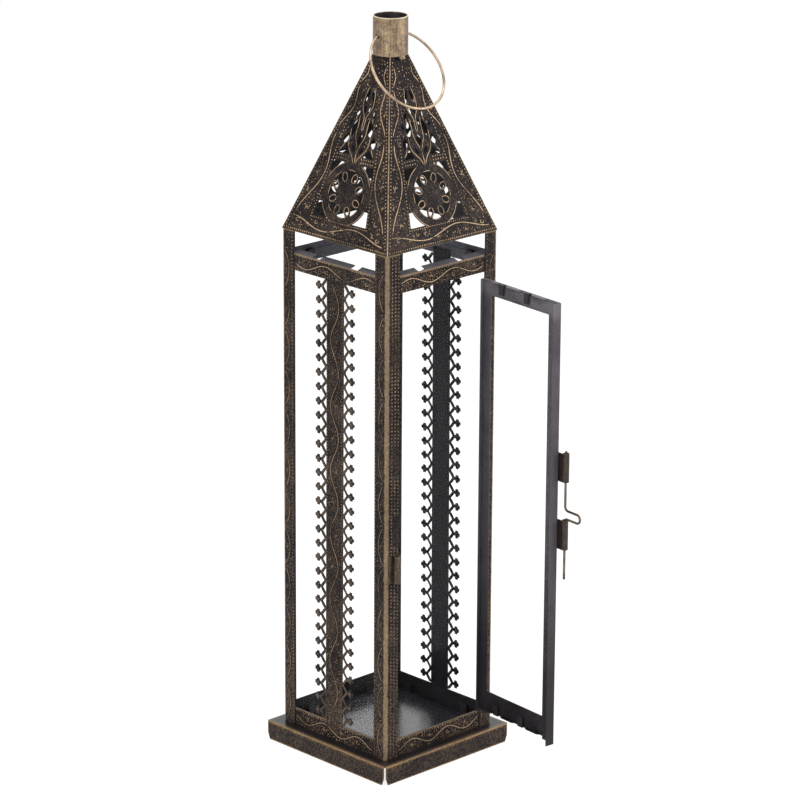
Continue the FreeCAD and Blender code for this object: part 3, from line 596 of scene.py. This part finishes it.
def in_the_bays(x, y):
    """Where the roof is punched full: not on the matted disc and ring, nor on the tree's trunk."""
    off_ring = (Vector((x, y)) - MEDALLION).length > 22.2
    off_trunk = abs(x) > 5.5 or not 50.0 < y < 76.0
    return off_ring and off_trunk and abs(x) < ridge_at(y) - 3.4 and y > 3.0


for number, side in enumerate(SIDES):
    plane = sheet_plane(side, height=EAVES, lean=ROOF_SLOPE)
    work = RaisedWork(f"raised_roof_{side}", [f"roof_panel_{side}"], plane, seed=11 + number)
    roof_border(work)
    roof_vines(work)
    roof_medallion(work)
    roof_tree(work)
    work.scatter((-46.0, 3.0), (46.0, 126.0), 4200, in_the_bays, share=-0.12)
    work.make(RAISED_ROOF, "lantern_body")

# %% [markdown]
# ## The posts' raised work
#
# A post is one long embossed strip, folded down its middle. Where the fold fell differs from post to
# post, so on one flange a vine runs between its beaded edge and the fold, and on another three rope-like
# rows of beads do. Flanges are drawn on the side that they face, from the fold inwards. Where the shut
# door's two barrels lie against the left front post, the beads are left off, or it would not close.

# %% Eight flanges, vined or roped
FLANGES = {
    "front_left": (("front", -1, "roped"), ("left", 1, "vined")),
    "front_right": (("right", -1, "vined"), ("front", 1, "vined")),
    "rear_right": (("rear", -1, "roped"), ("right", 1, "vined")),
    "rear_left": (("left", -1, "vined"), ("rear", 1, "roped")),
}


def flange_vine(work, s, low, high, phase):
    """Bows that spring from the fold and return to it, with sprigs between."""
    up = low + phase % 9
    while up < high - 20:
        end = up + 25.0 + work.hand.uniform(-2.0, 2.0)
        swing = math.pi / (end - up)
        bow = wave(up, min(end, high - 1), 1.2,
                   lambda v: s * (W - 3.2 - 4.2 * abs(math.sin(swing * (v - up))) ** 0.8))
        work.vine(bow, 0.8, 0.36)
        work.sprig(s * (W - 5.0), (up + end) / 2, math.pi / 2 + work.hand.uniform(-0.5, 0.5), 0.72)
        work.stroke(s * (W - 4.8), end + 1.5, 2.4, 0.3 * s)
        up = end + 3.5
    work.scatter((s * (W - 9.3) - 1.0, low), (s * (W - 4.0) + 1.0, high), 700,
                 radius=(0.34, 0.5), gap=0.35)


def flange_rope(work, s, low, high, phase):
    """Two more rope-like rows beside the one at the edge, each bead against the next row's gap."""
    for row, off in enumerate((4.6, 7.5)):
        start = low + 1.5 + 1.25 * row
        work.bead_row((s * (W - off), start), (s * (W - off), high - 1.5), pitch=2.5, radius=0.86, height=0.4)


def when_shut(node):
    """The patch of the front that a piece of the door covers when shut: two corners, in millimetres."""
    swing = Matrix.Translation(HINGE) @ turned(-85.0) @ Matrix.Translation(-HINGE)
    spots = [swing @ (v.co * 1000.0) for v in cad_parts[node].data.vertices]
    return [(pick(spot.x for spot in spots), pick(spot.z for spot in spots)) for pick in (min, max)]


BARRELS = [when_shut(f"latch_barrel_{which}") for which in ("lower", "upper")]
corners = [[round(v, 1) for v in corner] for patch in BARRELS for corner in patch]
print("the shut door's barrels cover, mm:", corners)

for number, (post, flanges) in enumerate(FLANGES.items()):
    for side, s, kind in flanges:
        work = RaisedWork(f"raised_post_{post}_{side}", [f"post_{post}"], sheet_plane(side), seed=31 + number)
        work.covered = BARRELS if (post, side) == ("front_left", "front") else []
        edge = s * (DOORWAY + 1.2)
        work.bead_row((edge, TRAY_TOP + 1.5), (edge, EAVES - 2.0), pitch=2.5, radius=0.7, height=0.4)
        draw = flange_vine if kind == "vined" else flange_rope
        draw(work, s, TRAY_TOP, EAVES, 20.0 + 9.0 * number)
        work.make(RAISED_WALLS, "lantern_body")

# %% [markdown]
# ## Rails and fretted strips
#
# The rails and the two strips come from the same embossed stock: a vine in long S-curves, a bead row
# along an edge, and sprigs and dots in the bays between. The strips lean back a little on their way up,
# because they stand before the bottom rail and behind the top one, so their plane leans with them. Their
# fringe of little crosses is thin where the cutter ran close, so bosses and stems are laid over it.

# %% A running vine for every rail and strip
def running_vine(work, low, high, middle, reach, wavelength, phase=0.0, upright=False, room=5.5):
    """A vine about a middle line, a sprig or curl in each bay, and dots over the rest."""
    def put(along, aside):
        return (aside, along) if upright else (along, aside)

    turn = 2 * math.pi / wavelength
    line = [put(a, b) for b, a in wave(low, high, 1.2, lambda a: middle + reach * math.sin(turn * (a - phase)))]
    work.vine(line, 0.85, 0.4)
    half = wavelength / 2
    first = math.ceil((low - phase) / half)
    for bay in range(first, int((high - phase) / half) + 1):
        along = phase + (bay + 0.5) * half
        if not low + 3 < along < high - 3:
            continue
        lobe = 1 if bay % 2 else -1
        heading = (math.pi / 2 if upright else 0.0) + work.hand.uniform(-0.4, 0.4)
        if bay % 3:
            work.sprig(*put(along, middle + lobe * reach * 0.45), heading, 0.85)
        else:
            work.curl(*put(along, middle + lobe * reach * 0.35), 1.5, 0.6 * bay, hand=lobe)
    work.scatter(put(low, middle - room), put(high, middle + room), int(9 * (high - low)),
                 radius=(0.34, 0.54), gap=0.4)


for number, side in enumerate(SIDES):
    plane = sheet_plane(side, SHEET, RAIL_FOOT)
    top = RaisedWork(f"raised_top_rail_{side}", [f"top_rail_{side}"], plane, seed=51 + number)
    top.bead_row((-38.8, 11.0), (38.8, 11.0), pitch=2.1, radius=0.62)
    running_vine(top, -38.5, 38.5, 5.6, 2.9, 40.0, phase=7.0 * number)
    top.make(RAISED_ROOF, "lantern_body")
    plane = sheet_plane(side, SHEET, TRAY_TOP)
    foot = RaisedWork(f"raised_bottom_rail_{side}", [f"bottom_rail_{side}"], plane, seed=61 + number)
    running_vine(foot, -38.5, 38.5, 6.2, 3.0, 34.0, phase=5.0 * number)
    foot.bead_row((-38.8, 11.4), (38.8, 11.4), pitch=2.5, radius=0.6)
    foot.make(RAISED_ROOF, "lantern_body")

STRIP_LEAN = math.atan2(1.2, RAIL_FOOT - BOTTOM_RAIL_HEAD)
BAND_HALF = 8.3                                 # half the strip's solid band, between its two fringes
CROSSES, CROSS_PITCH, FIRST_CROSS, CROSS_OFF = 31, 10.2, 5.5, 16.2


def fringe(work):
    """The fringe's stems swell where the cutter left them, and each little cross is punched up to a boss."""
    for up in (FIRST_CROSS + CROSS_PITCH * k for k in range(CROSSES)):
        for s in (-1, 1):
            work.bead(s * CROSS_OFF, up, radius=2.45, height=0.45, sides=12, anywhere=True)
            for d in (-1, 1):
                stem = ((9.2, 4.9), (10.3, 3.6), (11.6, 2.1), (13.2, 0.7))
                work.ridge([(s * x, up + d * y) for x, y in stem], 1.75, 0.36, 0.5)


for number, side in enumerate(("left", "right")):
    plane = sheet_plane(side, 0.0, BOTTOM_RAIL_HEAD, STRIP_LEAN)
    strip = RaisedWork(f"raised_strip_{side}", [f"fretted_strip_{side}"], plane, seed=71 + number)
    for s in (-1, 1):
        strip.bead_row((s * 7.2, -3.5), (s * 7.2, 315.5), pitch=2.2, radius=0.55)
    for up in range(-2, 62, 7):
        for s in (-1, 1):
            strip.curl(s * (3.9 + up % 2), up + 4.0 + 2.0 * s, 1.7, 0.5 * up, hand=s)
    running_vine(strip, -2.0, 315.0, 0.0, 3.9, 46.0, phase=11.0, upright=True, room=6.3)
    strip.make(RAISED_WALLS, "lantern_body")
    swollen = RaisedWork(f"fringe_{side}", [f"fretted_strip_{side}"], plane)
    fringe(swollen)
    swollen.make(FRINGE, "lantern_body")

# %% The door's raised work, on the face that it turns outwards when shut
DOOR = {"left": -39.1, "right": 39.5, "foot": 27.2, "head": 340.2}
door_sheets = ["door_hinge_stile", "door_latch_stile", "door_top_rail", "door_bottom_rail"]
door_work = RaisedWork("raised_door", door_sheets, door_plane(), seed=81)
door_work.bead_row((DOOR["right"] - 6.4, 30.0), (DOOR["right"] - 6.4, 338.5))
door_work.bead_row((DOOR["left"] + 10.6, 30.0), (DOOR["left"] + 10.6, 338.5))
door_work.bead_row((-26.0, DOOR["head"] - 9.4), (31.0, DOOR["head"] - 9.4))
door_work.bead_row((-26.0, DOOR["foot"] + 15.6), (31.0, DOOR["foot"] + 15.6))
running_vine(door_work, 31.0, 338.0, DOOR["left"] + 5.6, 2.8, 46.0, phase=9.0, upright=True, room=4.5)
running_vine(door_work, -26.0, 31.0, DOOR["head"] - 5.0, 2.5, 36.0, room=4.0)
running_vine(door_work, -26.0, 31.0, DOOR["foot"] + 10.0, 3.4, 36.0, room=5.0)
door_work.make(RAISED_WALLS, "door")

# %% [markdown]
# ## The finish of the sheet itself
#
# Outside, the sheet is near-black paint over bronze, rubbed until flecks of metal show in the grain and
# a bright line stands along each fold and cut edge. Inside it is plain charcoal, smoother and cooler,
# because the pad never went there; posts, top rails and door take lighter greys of that charcoal, painted
# light for the light that reaches each. One recipe does both: it asks which way the surface faces, and each
# family of pieces says where its own folds and edges lie, measured from the lantern's sizes. Low down,
# where hands and polish collect, more bronze comes through.

# %% One recipe for rubbed sheet
def rubbed_sheet(name, worn_at, outside, inside=(CHARCOAL, (0.031, 0.028, 0.032)), show=1.0,
                 browner=None, darker_low_and_pale_head=None):
    """worn_at and outside take where and which way a point is, and give 0 to 1: the folds, the outer face.

    inside is the pair of greys of the plain side, lighter on some families as painted light, show how much the
    pad left to see, browner where more bronze comes through, and the last argument the heights between which
    the plain side grows darker towards the bottom, with a pale painted highlight along the door's head.
    """
    finish = Finish(name)
    place, facing = finish.place(), finish.facing()
    outer = outside(place, facing)
    patch = finish.grain(20.0, 3.0, seed=3.0)
    fleck = finish.grain(1.7, 4.0, 0.7)
    speck = finish.grain(0.8, 1.0, 0.5, seed=8.0)
    caught = ((fleck + patch * 0.5).fade(0.74, 0.98) * 0.5).most(speck.fade(0.57, 0.72) * 0.8) * show
    if browner:
        caught = caught.most(browner(finish, place) * (fleck * 3.0 + speck * 2.4 - 2.42))
    worn = worn_at(finish, place, facing) * (fleck * 1.3 + patch * 0.5 - 0.15)
    painted = finish.blend((patch * 0.6 + fleck * 0.6).fade(0.50, 0.80), BLACK_PAINT_AND_SHADE, UMBER)
    rubbed = finish.blend(worn, finish.blend(caught, painted, BRONZE), BRASS)
    plain = finish.blend((fleck * 0.6 + patch * 0.5).fade(0.35, 0.75), *inside)
    if darker_low_and_pale_head:
        # The plain side grows darker towards the bottom.
        plain = finish.blend(place[2].fade(*darker_low_and_pale_head) * 0.75, plain, BLACK_PAINT_AND_SHADE)
        # Painted highlight: the plain side paler along the door's head, where it catches the light.
        plain = finish.blend((place[2] - DOOR["head"]).fade(-14.2, -6.2) * 0.45, plain, PAINTED_HIGHLIGHT_GREY)
    colour = finish.blend(outer, plain, rubbed)
    metal = outer * (caught * 0.3 + worn * 0.5 + 0.05)
    rough = 0.58 - worn * 0.15 - (1 - outer) * 0.14
    normal = finish.bump((fleck + speck * 0.6) * outer, 0.14, 0.6)
    return finish.metalwork(colour, rough, metal.least(1.0), normal, **PAINTED)


def outwards(place, facing):
    """1 where an upright wall faces away from the lantern's middle."""
    x, y, z = place
    nx, ny, nz = facing
    return (x * nx + y * ny).fade(24.0, 34.0)


def upwards(place, facing):
    """1 on the roof's outer face."""
    return facing[2].fade(-0.05, 0.15)


def post_fold(finish, place, facing):
    """A band along the fold with a ragged edge, and the lip at the post's head."""
    x, y, z = place
    ragged = (finish.grain(2.6, 3.0, 0.7, seed=14.0) - 0.5) * 2.4
    fold = (abs(x).least(abs(y)) + ragged).fade(W - 2.7, W - 1.6)
    return (fold * 0.66).most(z.fade(EAVES - 0.9, EAVES - 0.4) * 0.6)


def rail_edges(finish, place, facing):
    """The fold along a top rail's head and the cut edge along a bottom rail's."""
    x, y, z = place
    ragged = (finish.grain(1.6, 2.0, 0.6, seed=14.0) - 0.5) * 1.4
    head = (z + ragged).fade(RAIL_HEAD - 1.7, RAIL_HEAD - 0.6) * abs(x).most(abs(y)).fade(W - 1.3, W - 0.8)
    up = z - BOTTOM_RAIL_HEAD
    bottom = up.fade(-1.3, -0.5) * up.fade(0.5, 0.3) * 0.6
    return (head * 0.8).most(bottom)


def roof_edges(finish, place, facing):
    x, y, z = place
    ridge = abs(abs(x) - abs(y)).fade(0.8, 0.25) * (finish.grain(7.0, 3.0, 0.7).fade(0.3, 0.6) * 0.4 + 0.5)
    return ridge.most(z.fade(EAVES + 1.0, EAVES + 0.3) * 0.22)


def strip_edges(finish, place, facing):
    return abs(abs(place[1]) - BAND_HALF).fade(0.7, 0.2) * 0.2


SHEET_FINISHES = {
    "post": rubbed_sheet("post_sheet", post_fold, outwards, show=0.85,
                         browner=lambda finish, place: place[2].fade(130.0, 30.0) * 0.9,
                         # inside: the plain charcoal painted a little lighter on the posts, a lit copy for the
                         # light their inner faces catch.
                         inside=((0.032, 0.029, 0.033), (0.052, 0.047, 0.053))),
    "rail": rubbed_sheet("rail_sheet", rail_edges, outwards, show=1.2,
                         # inside: the plain charcoal painted much lighter on the top rails, a lit copy for the
                         # light that reaches them.
                         inside=((0.110, 0.100, 0.116), (0.190, 0.174, 0.200))),
    "foot": rubbed_sheet("bottom_rail_sheet", rail_edges, outwards, show=1.1),
    "roof": rubbed_sheet("roof_sheet", roof_edges, upwards, show=0.65),
    "strip": rubbed_sheet("strip_sheet", strip_edges, outwards, show=0.8,
                          inside=((0.019, 0.017, 0.021), (0.029, 0.026, 0.031)),
                          browner=lambda finish, place: (place[2].fade(66.0, 40.0) * 0.9).most(
                              abs(place[1]).fade(BAND_HALF - 0.1, BAND_HALF + 0.9) * 1.7)),
}
print("sheet finishes:", sorted(SHEET_FINISHES))

# %% [markdown]
# ## The tray
#
# The tray's sides are where hands touch it most, so bronze shows all over them, with a bright line along
# the top fold and the lower edge. On top, shade is painted: near-black from the foot of the walls out to
# within a few millimetres of the edge. The floor of the chamber is smooth, nearly black, and shiny enough
# to mirror the room.

# %% A handled tray with a shiny floor
def tray_finish():
    finish = Finish("tray_sheet")
    x, y, z = finish.place()
    nx, ny, nz = finish.facing()
    reach = abs(x).most(abs(y))
    top = nz.fade(0.4, 0.8)
    chamber = top * reach.fade(W - 0.1, W - 0.7)
    under = nz.fade(-0.4, -0.8).most((x * nx + y * ny).fade(-2.0, -20.0))
    patch = finish.grain(16.0, 3.0, seed=5.0)
    fleck = finish.grain(1.7, 4.0, 0.7)
    speck = finish.grain(0.8, 1.0, 0.5, seed=8.0)
    top_fold = reach.fade(TRAY_HALF - 1.1, TRAY_HALF - 0.4) * z.fade(TRAY_TOP - 1.7, TRAY_TOP - 0.7)
    edge = z.fade(1.1, 0.4).most(top_fold)
    ragged = (fleck - 0.5) * 5.0
    upper = (z + ragged).fade(TRAY_TOP - 2.8, TRAY_TOP - 0.8) * 0.38
    corner = abs(x).least(abs(y)).fade(TRAY_HALF - 2.6, TRAY_HALF - 1.6) * 0.7
    worn = edge.most(corner).most(upper) * (fleck * 1.5 + patch * 0.5 - 0.38)
    caught = ((fleck + patch * 0.3).fade(0.60, 0.86) * 0.6).most(speck.fade(0.54, 0.68) * 0.9)
    # Painted shade: the top is near-black from the foot of the walls out to within a few millimetres of the
    # edge.
    shade = top * reach.fade(TRAY_HALF - 1.0, TRAY_HALF - 4.0)
    painted = finish.blend((patch * 0.2 + fleck * 0.9).fade(0.42, 0.72), BLACK_PAINT_AND_SHADE, UMBER)
    rubbed = finish.blend(worn, finish.blend(caught, painted, BRONZE), GILT)
    outside = finish.blend(shade, rubbed, BLACK_PAINT_AND_SHADE)
    plain = chamber.most(under)
    smooth_paint = finish.blend(patch, (0.024, 0.021, 0.026), (0.040, 0.035, 0.043))
    colour = finish.blend(plain, outside, smooth_paint)
    rough = 0.54 - plain * 0.30
    metal = (1 - plain) * (1 - shade) * (caught * 0.3 + worn * 0.4 + 0.05)
    normal = finish.bump((fleck + speck * 0.6) * (1 - top), 0.14, 0.5)
    gloss = chamber.most(top * (1 - chamber) * 0.6)
    shine = {"Coat Weight": gloss, "Coat Roughness": 0.22, "Coat IOR": 1.75}
    return finish.metalwork(colour, rough, metal.least(1.0), normal, **PAINTED, **shine)


TRAY = tray_finish()
print("tray finish made")

# %% [markdown]
# ## The door's sheet, and the small fittings
#
# Standing open, the door shows its inner face, mid-grey: its charcoal painted lighter for the light it catches,
# darker towards the bottom, with a pale painted highlight along its head and a little brown along its outermost
# edges.
# Hinges, barrels and keeper are rolled from thin strip: brown-bronze, with bright cut ends. The bolt is
# dark drawn wire. Clips and tongues are the plain charcoal of the inside.

# %% Door, fittings, wire and solder
def door_outside(place, facing):
    return facing[0].fade(0.3, 0.7)


def door_edges(finish, place, facing):
    return facing[1].fade(-0.5, -0.85) * (0.12 + place[2].fade(150.0, 60.0) * 0.2)


def charcoal(name, shade):
    finish = Finish(name)
    mottle = finish.grain(3.0, 4.0, 0.6)
    light, dark = ([shade * v for v in grey] for grey in ((0.075, 0.068, 0.076), (0.045, 0.041, 0.047)))
    normal = finish.bump(mottle, 0.08, 0.4)
    return finish.metalwork(finish.blend(mottle.fade(0.3, 0.7), dark, light), 0.4 + mottle * 0.1, 0.2, normal)


def rolled_strip(name, base, bright, amount):
    finish = Finish(name)
    wear = finish.grain(1.2, 4.0, 0.7)
    along = finish.grain(2.0, 2.0, stretch=(1.0, 1.0, 0.12))
    worn = (wear * 0.8 + along * 0.5).fade(0.52, 0.86) * amount
    ends = abs(finish.facing()[2]).fade(0.6, 0.9)
    colour = finish.blend(worn.most(ends * 0.8), base, bright)
    return finish.metalwork(colour, 0.45, 0.55, finish.bump(wear, 0.08, 0.5))


def drawn_wire(name, base, bright, rough, metallic):
    finish = Finish(name)
    handling = finish.grain(9.0, 3.0)
    scratch = finish.grain(1.4, 3.0)
    colour = finish.blend((handling * 0.8 + scratch * 0.35).fade(0.4, 0.78), base, bright)
    return finish.metalwork(colour, rough + scratch * 0.12, metallic, finish.bump(scratch, 0.03, 0.5))


DOOR_SHEET = rubbed_sheet("door_sheet", door_edges, door_outside, darker_low_and_pale_head=(210.0, 35.0),
                          # inside: the door's charcoal painted lighter, a lit copy for the light that its open
                          # inner face catches.
                          inside=((0.086, 0.075, 0.086), (0.138, 0.121, 0.137)))
FITTINGS = rolled_strip("rolled_fittings", (0.024, 0.018, 0.018), (0.26, 0.185, 0.125), 0.34)
KEEPER = rolled_strip("rolled_keeper", (0.036, 0.026, 0.021), (0.36, 0.26, 0.155), 0.52)
CLIPS = charcoal("plain_clips", 0.30)
BOLT_WIRE = drawn_wire("dark_bolt_wire", (0.075, 0.058, 0.050), (0.26, 0.205, 0.155), 0.38, 0.8)
RING_WIRE = drawn_wire("ring_wire", (0.28, 0.20, 0.15), (0.62, 0.47, 0.31), 0.36, 0.85)
PIN_WIRE = drawn_wire("pin_wire", (0.08, 0.065, 0.055), (0.22, 0.18, 0.14), 0.4, 0.8)
SOLDER = drawn_wire("dull_solder", (0.26, 0.20, 0.125), (0.66, 0.54, 0.36), 0.36, 0.7)
print("fittings and wires made")

# %% [markdown]
# ## The tube
#
# The short tube was brushed lengthwise after it was rolled, so its brass shows in long upright streaks,
# brighter round the lip. Noise that is squeezed across and stretched upwards gives such streaks. The side
# turned to the camera is painted brighter, a painted highlight, and the top of the rim is a whitish painted
# highlight.

# %% Brass brushed lengthwise
def brushed_tube():
    finish = Finish("brushed_tube")
    x, y, z = finish.place()
    nx, ny, _ = finish.facing()
    streak = finish.grain(1.1, 3.0, 0.6, stretch=(1.0, 1.0, 0.07))
    cloud = finish.grain(5.0, 4.0, 0.7)
    # Painted highlight: the streaked brass is made brighter on the side turned towards the camera.
    painted_sheen_facing_camera = (x * -0.69 + y * -0.72).fade(1.0, 11.5)
    speck = finish.grain(0.7, 2.0, 0.6, stretch=(1.0, 1.0, 0.5))
    rubbed = (streak * 0.35 + cloud * 0.45 + speck * 0.4).fade(0.42, 0.82) * (painted_sheen_facing_camera * 0.6 + 0.4)
    lip = z.fade(TUBE_HEAD - 1.3, TUBE_HEAD - 0.3).most(z.fade(TUBE_FOOT + 1.1, TUBE_FOOT + 0.4) * 0.5)
    inside = (x * nx + y * ny).fade(-1.0, -6.0)
    colour = finish.blend(rubbed.most(lip * 0.9), (0.120, 0.082, 0.064), (0.50, 0.37, 0.225))
    # The rim's top edge is a whitish painted highlight over the worn brass lip.
    rim = z.fade(TUBE_HEAD - 0.5, TUBE_HEAD - 0.1)
    colour = finish.blend(rim, finish.blend(inside, colour, (0.085, 0.068, 0.072)), (0.72, 0.62, 0.46))
    normal = finish.bump(streak + speck * 0.5, 0.06, 0.6)
    return finish.metalwork(colour, 0.36 + cloud * 0.15, 0.85, normal)


TUBE = brushed_tube()

# %% [markdown]
# ## Solder at the tube's foot
#
# Solder freezes where the iron left it, so a joint made in a hurry is a lumpy run, part on the tube and
# part on the roof. Each of the two beads of the bare metal is redrawn as a fine ball whose points are
# pushed inwards by smooth noise, never out past the bead, with the bead's own middle and reach.

# %% Two lumpy runs of solder
def lumpy_solder():
    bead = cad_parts["tube_solder"].data
    lumps = bmesh.new()
    for side in (-1, 1):
        spots = [v.co for v in bead.vertices if v.co.y * side > 0]
        low, high = (Vector(pick(spot[axis] for spot in spots) for axis in range(3)) for pick in (min, max))
        middle, reach = (low + high) / 2, (high - low) / 2
        ball = bmesh.ops.create_icosphere(lumps, subdivisions=4, radius=1.0)
        for point in ball["verts"]:
            way = point.co.normalized()
            broad, fine = noise.noise(way * 1.7 + Vector((side, 3.0, 7.0))), noise.noise(way * 5.0)
            swell = 0.84 + 0.30 * broad + 0.12 * fine
            point.co = middle + Vector(a * b for a, b in zip(way, reach)) * min(swell, 1.0)
    mesh = bpy.data.meshes.new("lumpy_solder")
    lumps.to_mesh(mesh)
    lumps.free()
    mesh.polygons.foreach_set("use_smooth", [True] * len(mesh.polygons))
    mesh.materials.append(SOLDER)
    piece = bpy.data.objects.new("lumpy_solder", mesh)
    bpy.context.scene.collection.objects.link(piece)
    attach(piece, "lantern_body")
    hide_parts("tube_solder")
    print("lumpy_solder:", len(mesh.polygons), "faces")


lumpy_solder()

# %% [markdown]
# ## Window glass
#
# Ordinary glass is nearly colourless through its face and greenish-blue through its edge. Light passes a
# thin pane almost unchanged, so for the rays that only carry light on, the pane steps aside; without
# that, a window throws a shadow as dark as a board. The index of refraction is set low, because the room
# is white all round and its reflection would lie like fog over the dark metal behind the panes.

# %% Clear panes with teal edges
def window_glass():
    finish = Finish("window_glass")
    nx, ny, _ = finish.facing()
    door_pane = finish.place()[1].fade(-W - 1.1, -W - 1.7)
    across = (abs(nx) * door_pane).most((abs(nx).most(abs(ny))) * (1 - door_pane))
    edge = across.fade(0.9, 0.7)
    tint = finish.blend(edge, (1.0, 1.0, 1.0), (0.30, 0.50, 0.46))
    sockets = {"Base Color": tint, "Roughness": 0.0, "IOR": 1.08, "Transmission Weight": 1.0}
    pane = finish.node("ShaderNodeBsdfPrincipled", {}, sockets)
    clear = finish.node("ShaderNodeBsdfTransparent", {}, {"Color": (0.96, 0.985, 0.98, 1.0)})
    passing = finish.node("ShaderNodeLightPath", output="Is Shadow Ray").most(
        finish.node("ShaderNodeLightPath", output="Is Diffuse Ray"))
    return finish.surface(finish.node("ShaderNodeMixShader", {}, {0: passing, 1: pane, 2: clear}))


GLASS = window_glass()

# %% Every CAD piece takes its finish
def finish_for(node):
    table = {
        "base_pan": TRAY, "chimney_tube": TUBE, "tube_solder": SOLDER, "ring_handle": RING_WIRE,
        "latch_bolt": BOLT_WIRE, "hinge_pins": PIN_WIRE, "latch_keeper": KEEPER,
        "latch_barrel_upper": FITTINGS, "latch_barrel_lower": FITTINGS,
        "door_hinge_leaves": FITTINGS, "post_hinge_leaves": FITTINGS,
    }
    if node in table:
        return table[node]
    families = {
        "clips": CLIPS, "glass": GLASS, "door_": DOOR_SHEET, "post_": SHEET_FINISHES["post"],
        "bottom_rail_": SHEET_FINISHES["foot"], "top_rail_": SHEET_FINISHES["rail"],
        "roof_": SHEET_FINISHES["roof"], "strip": SHEET_FINISHES["strip"],
    }
    return next(finish for part, finish in families.items() if part in node)


for node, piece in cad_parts.items():
    piece.data.materials.clear()
    piece.data.materials.append(finish_for(node))
print("finished", len(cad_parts), "pieces")
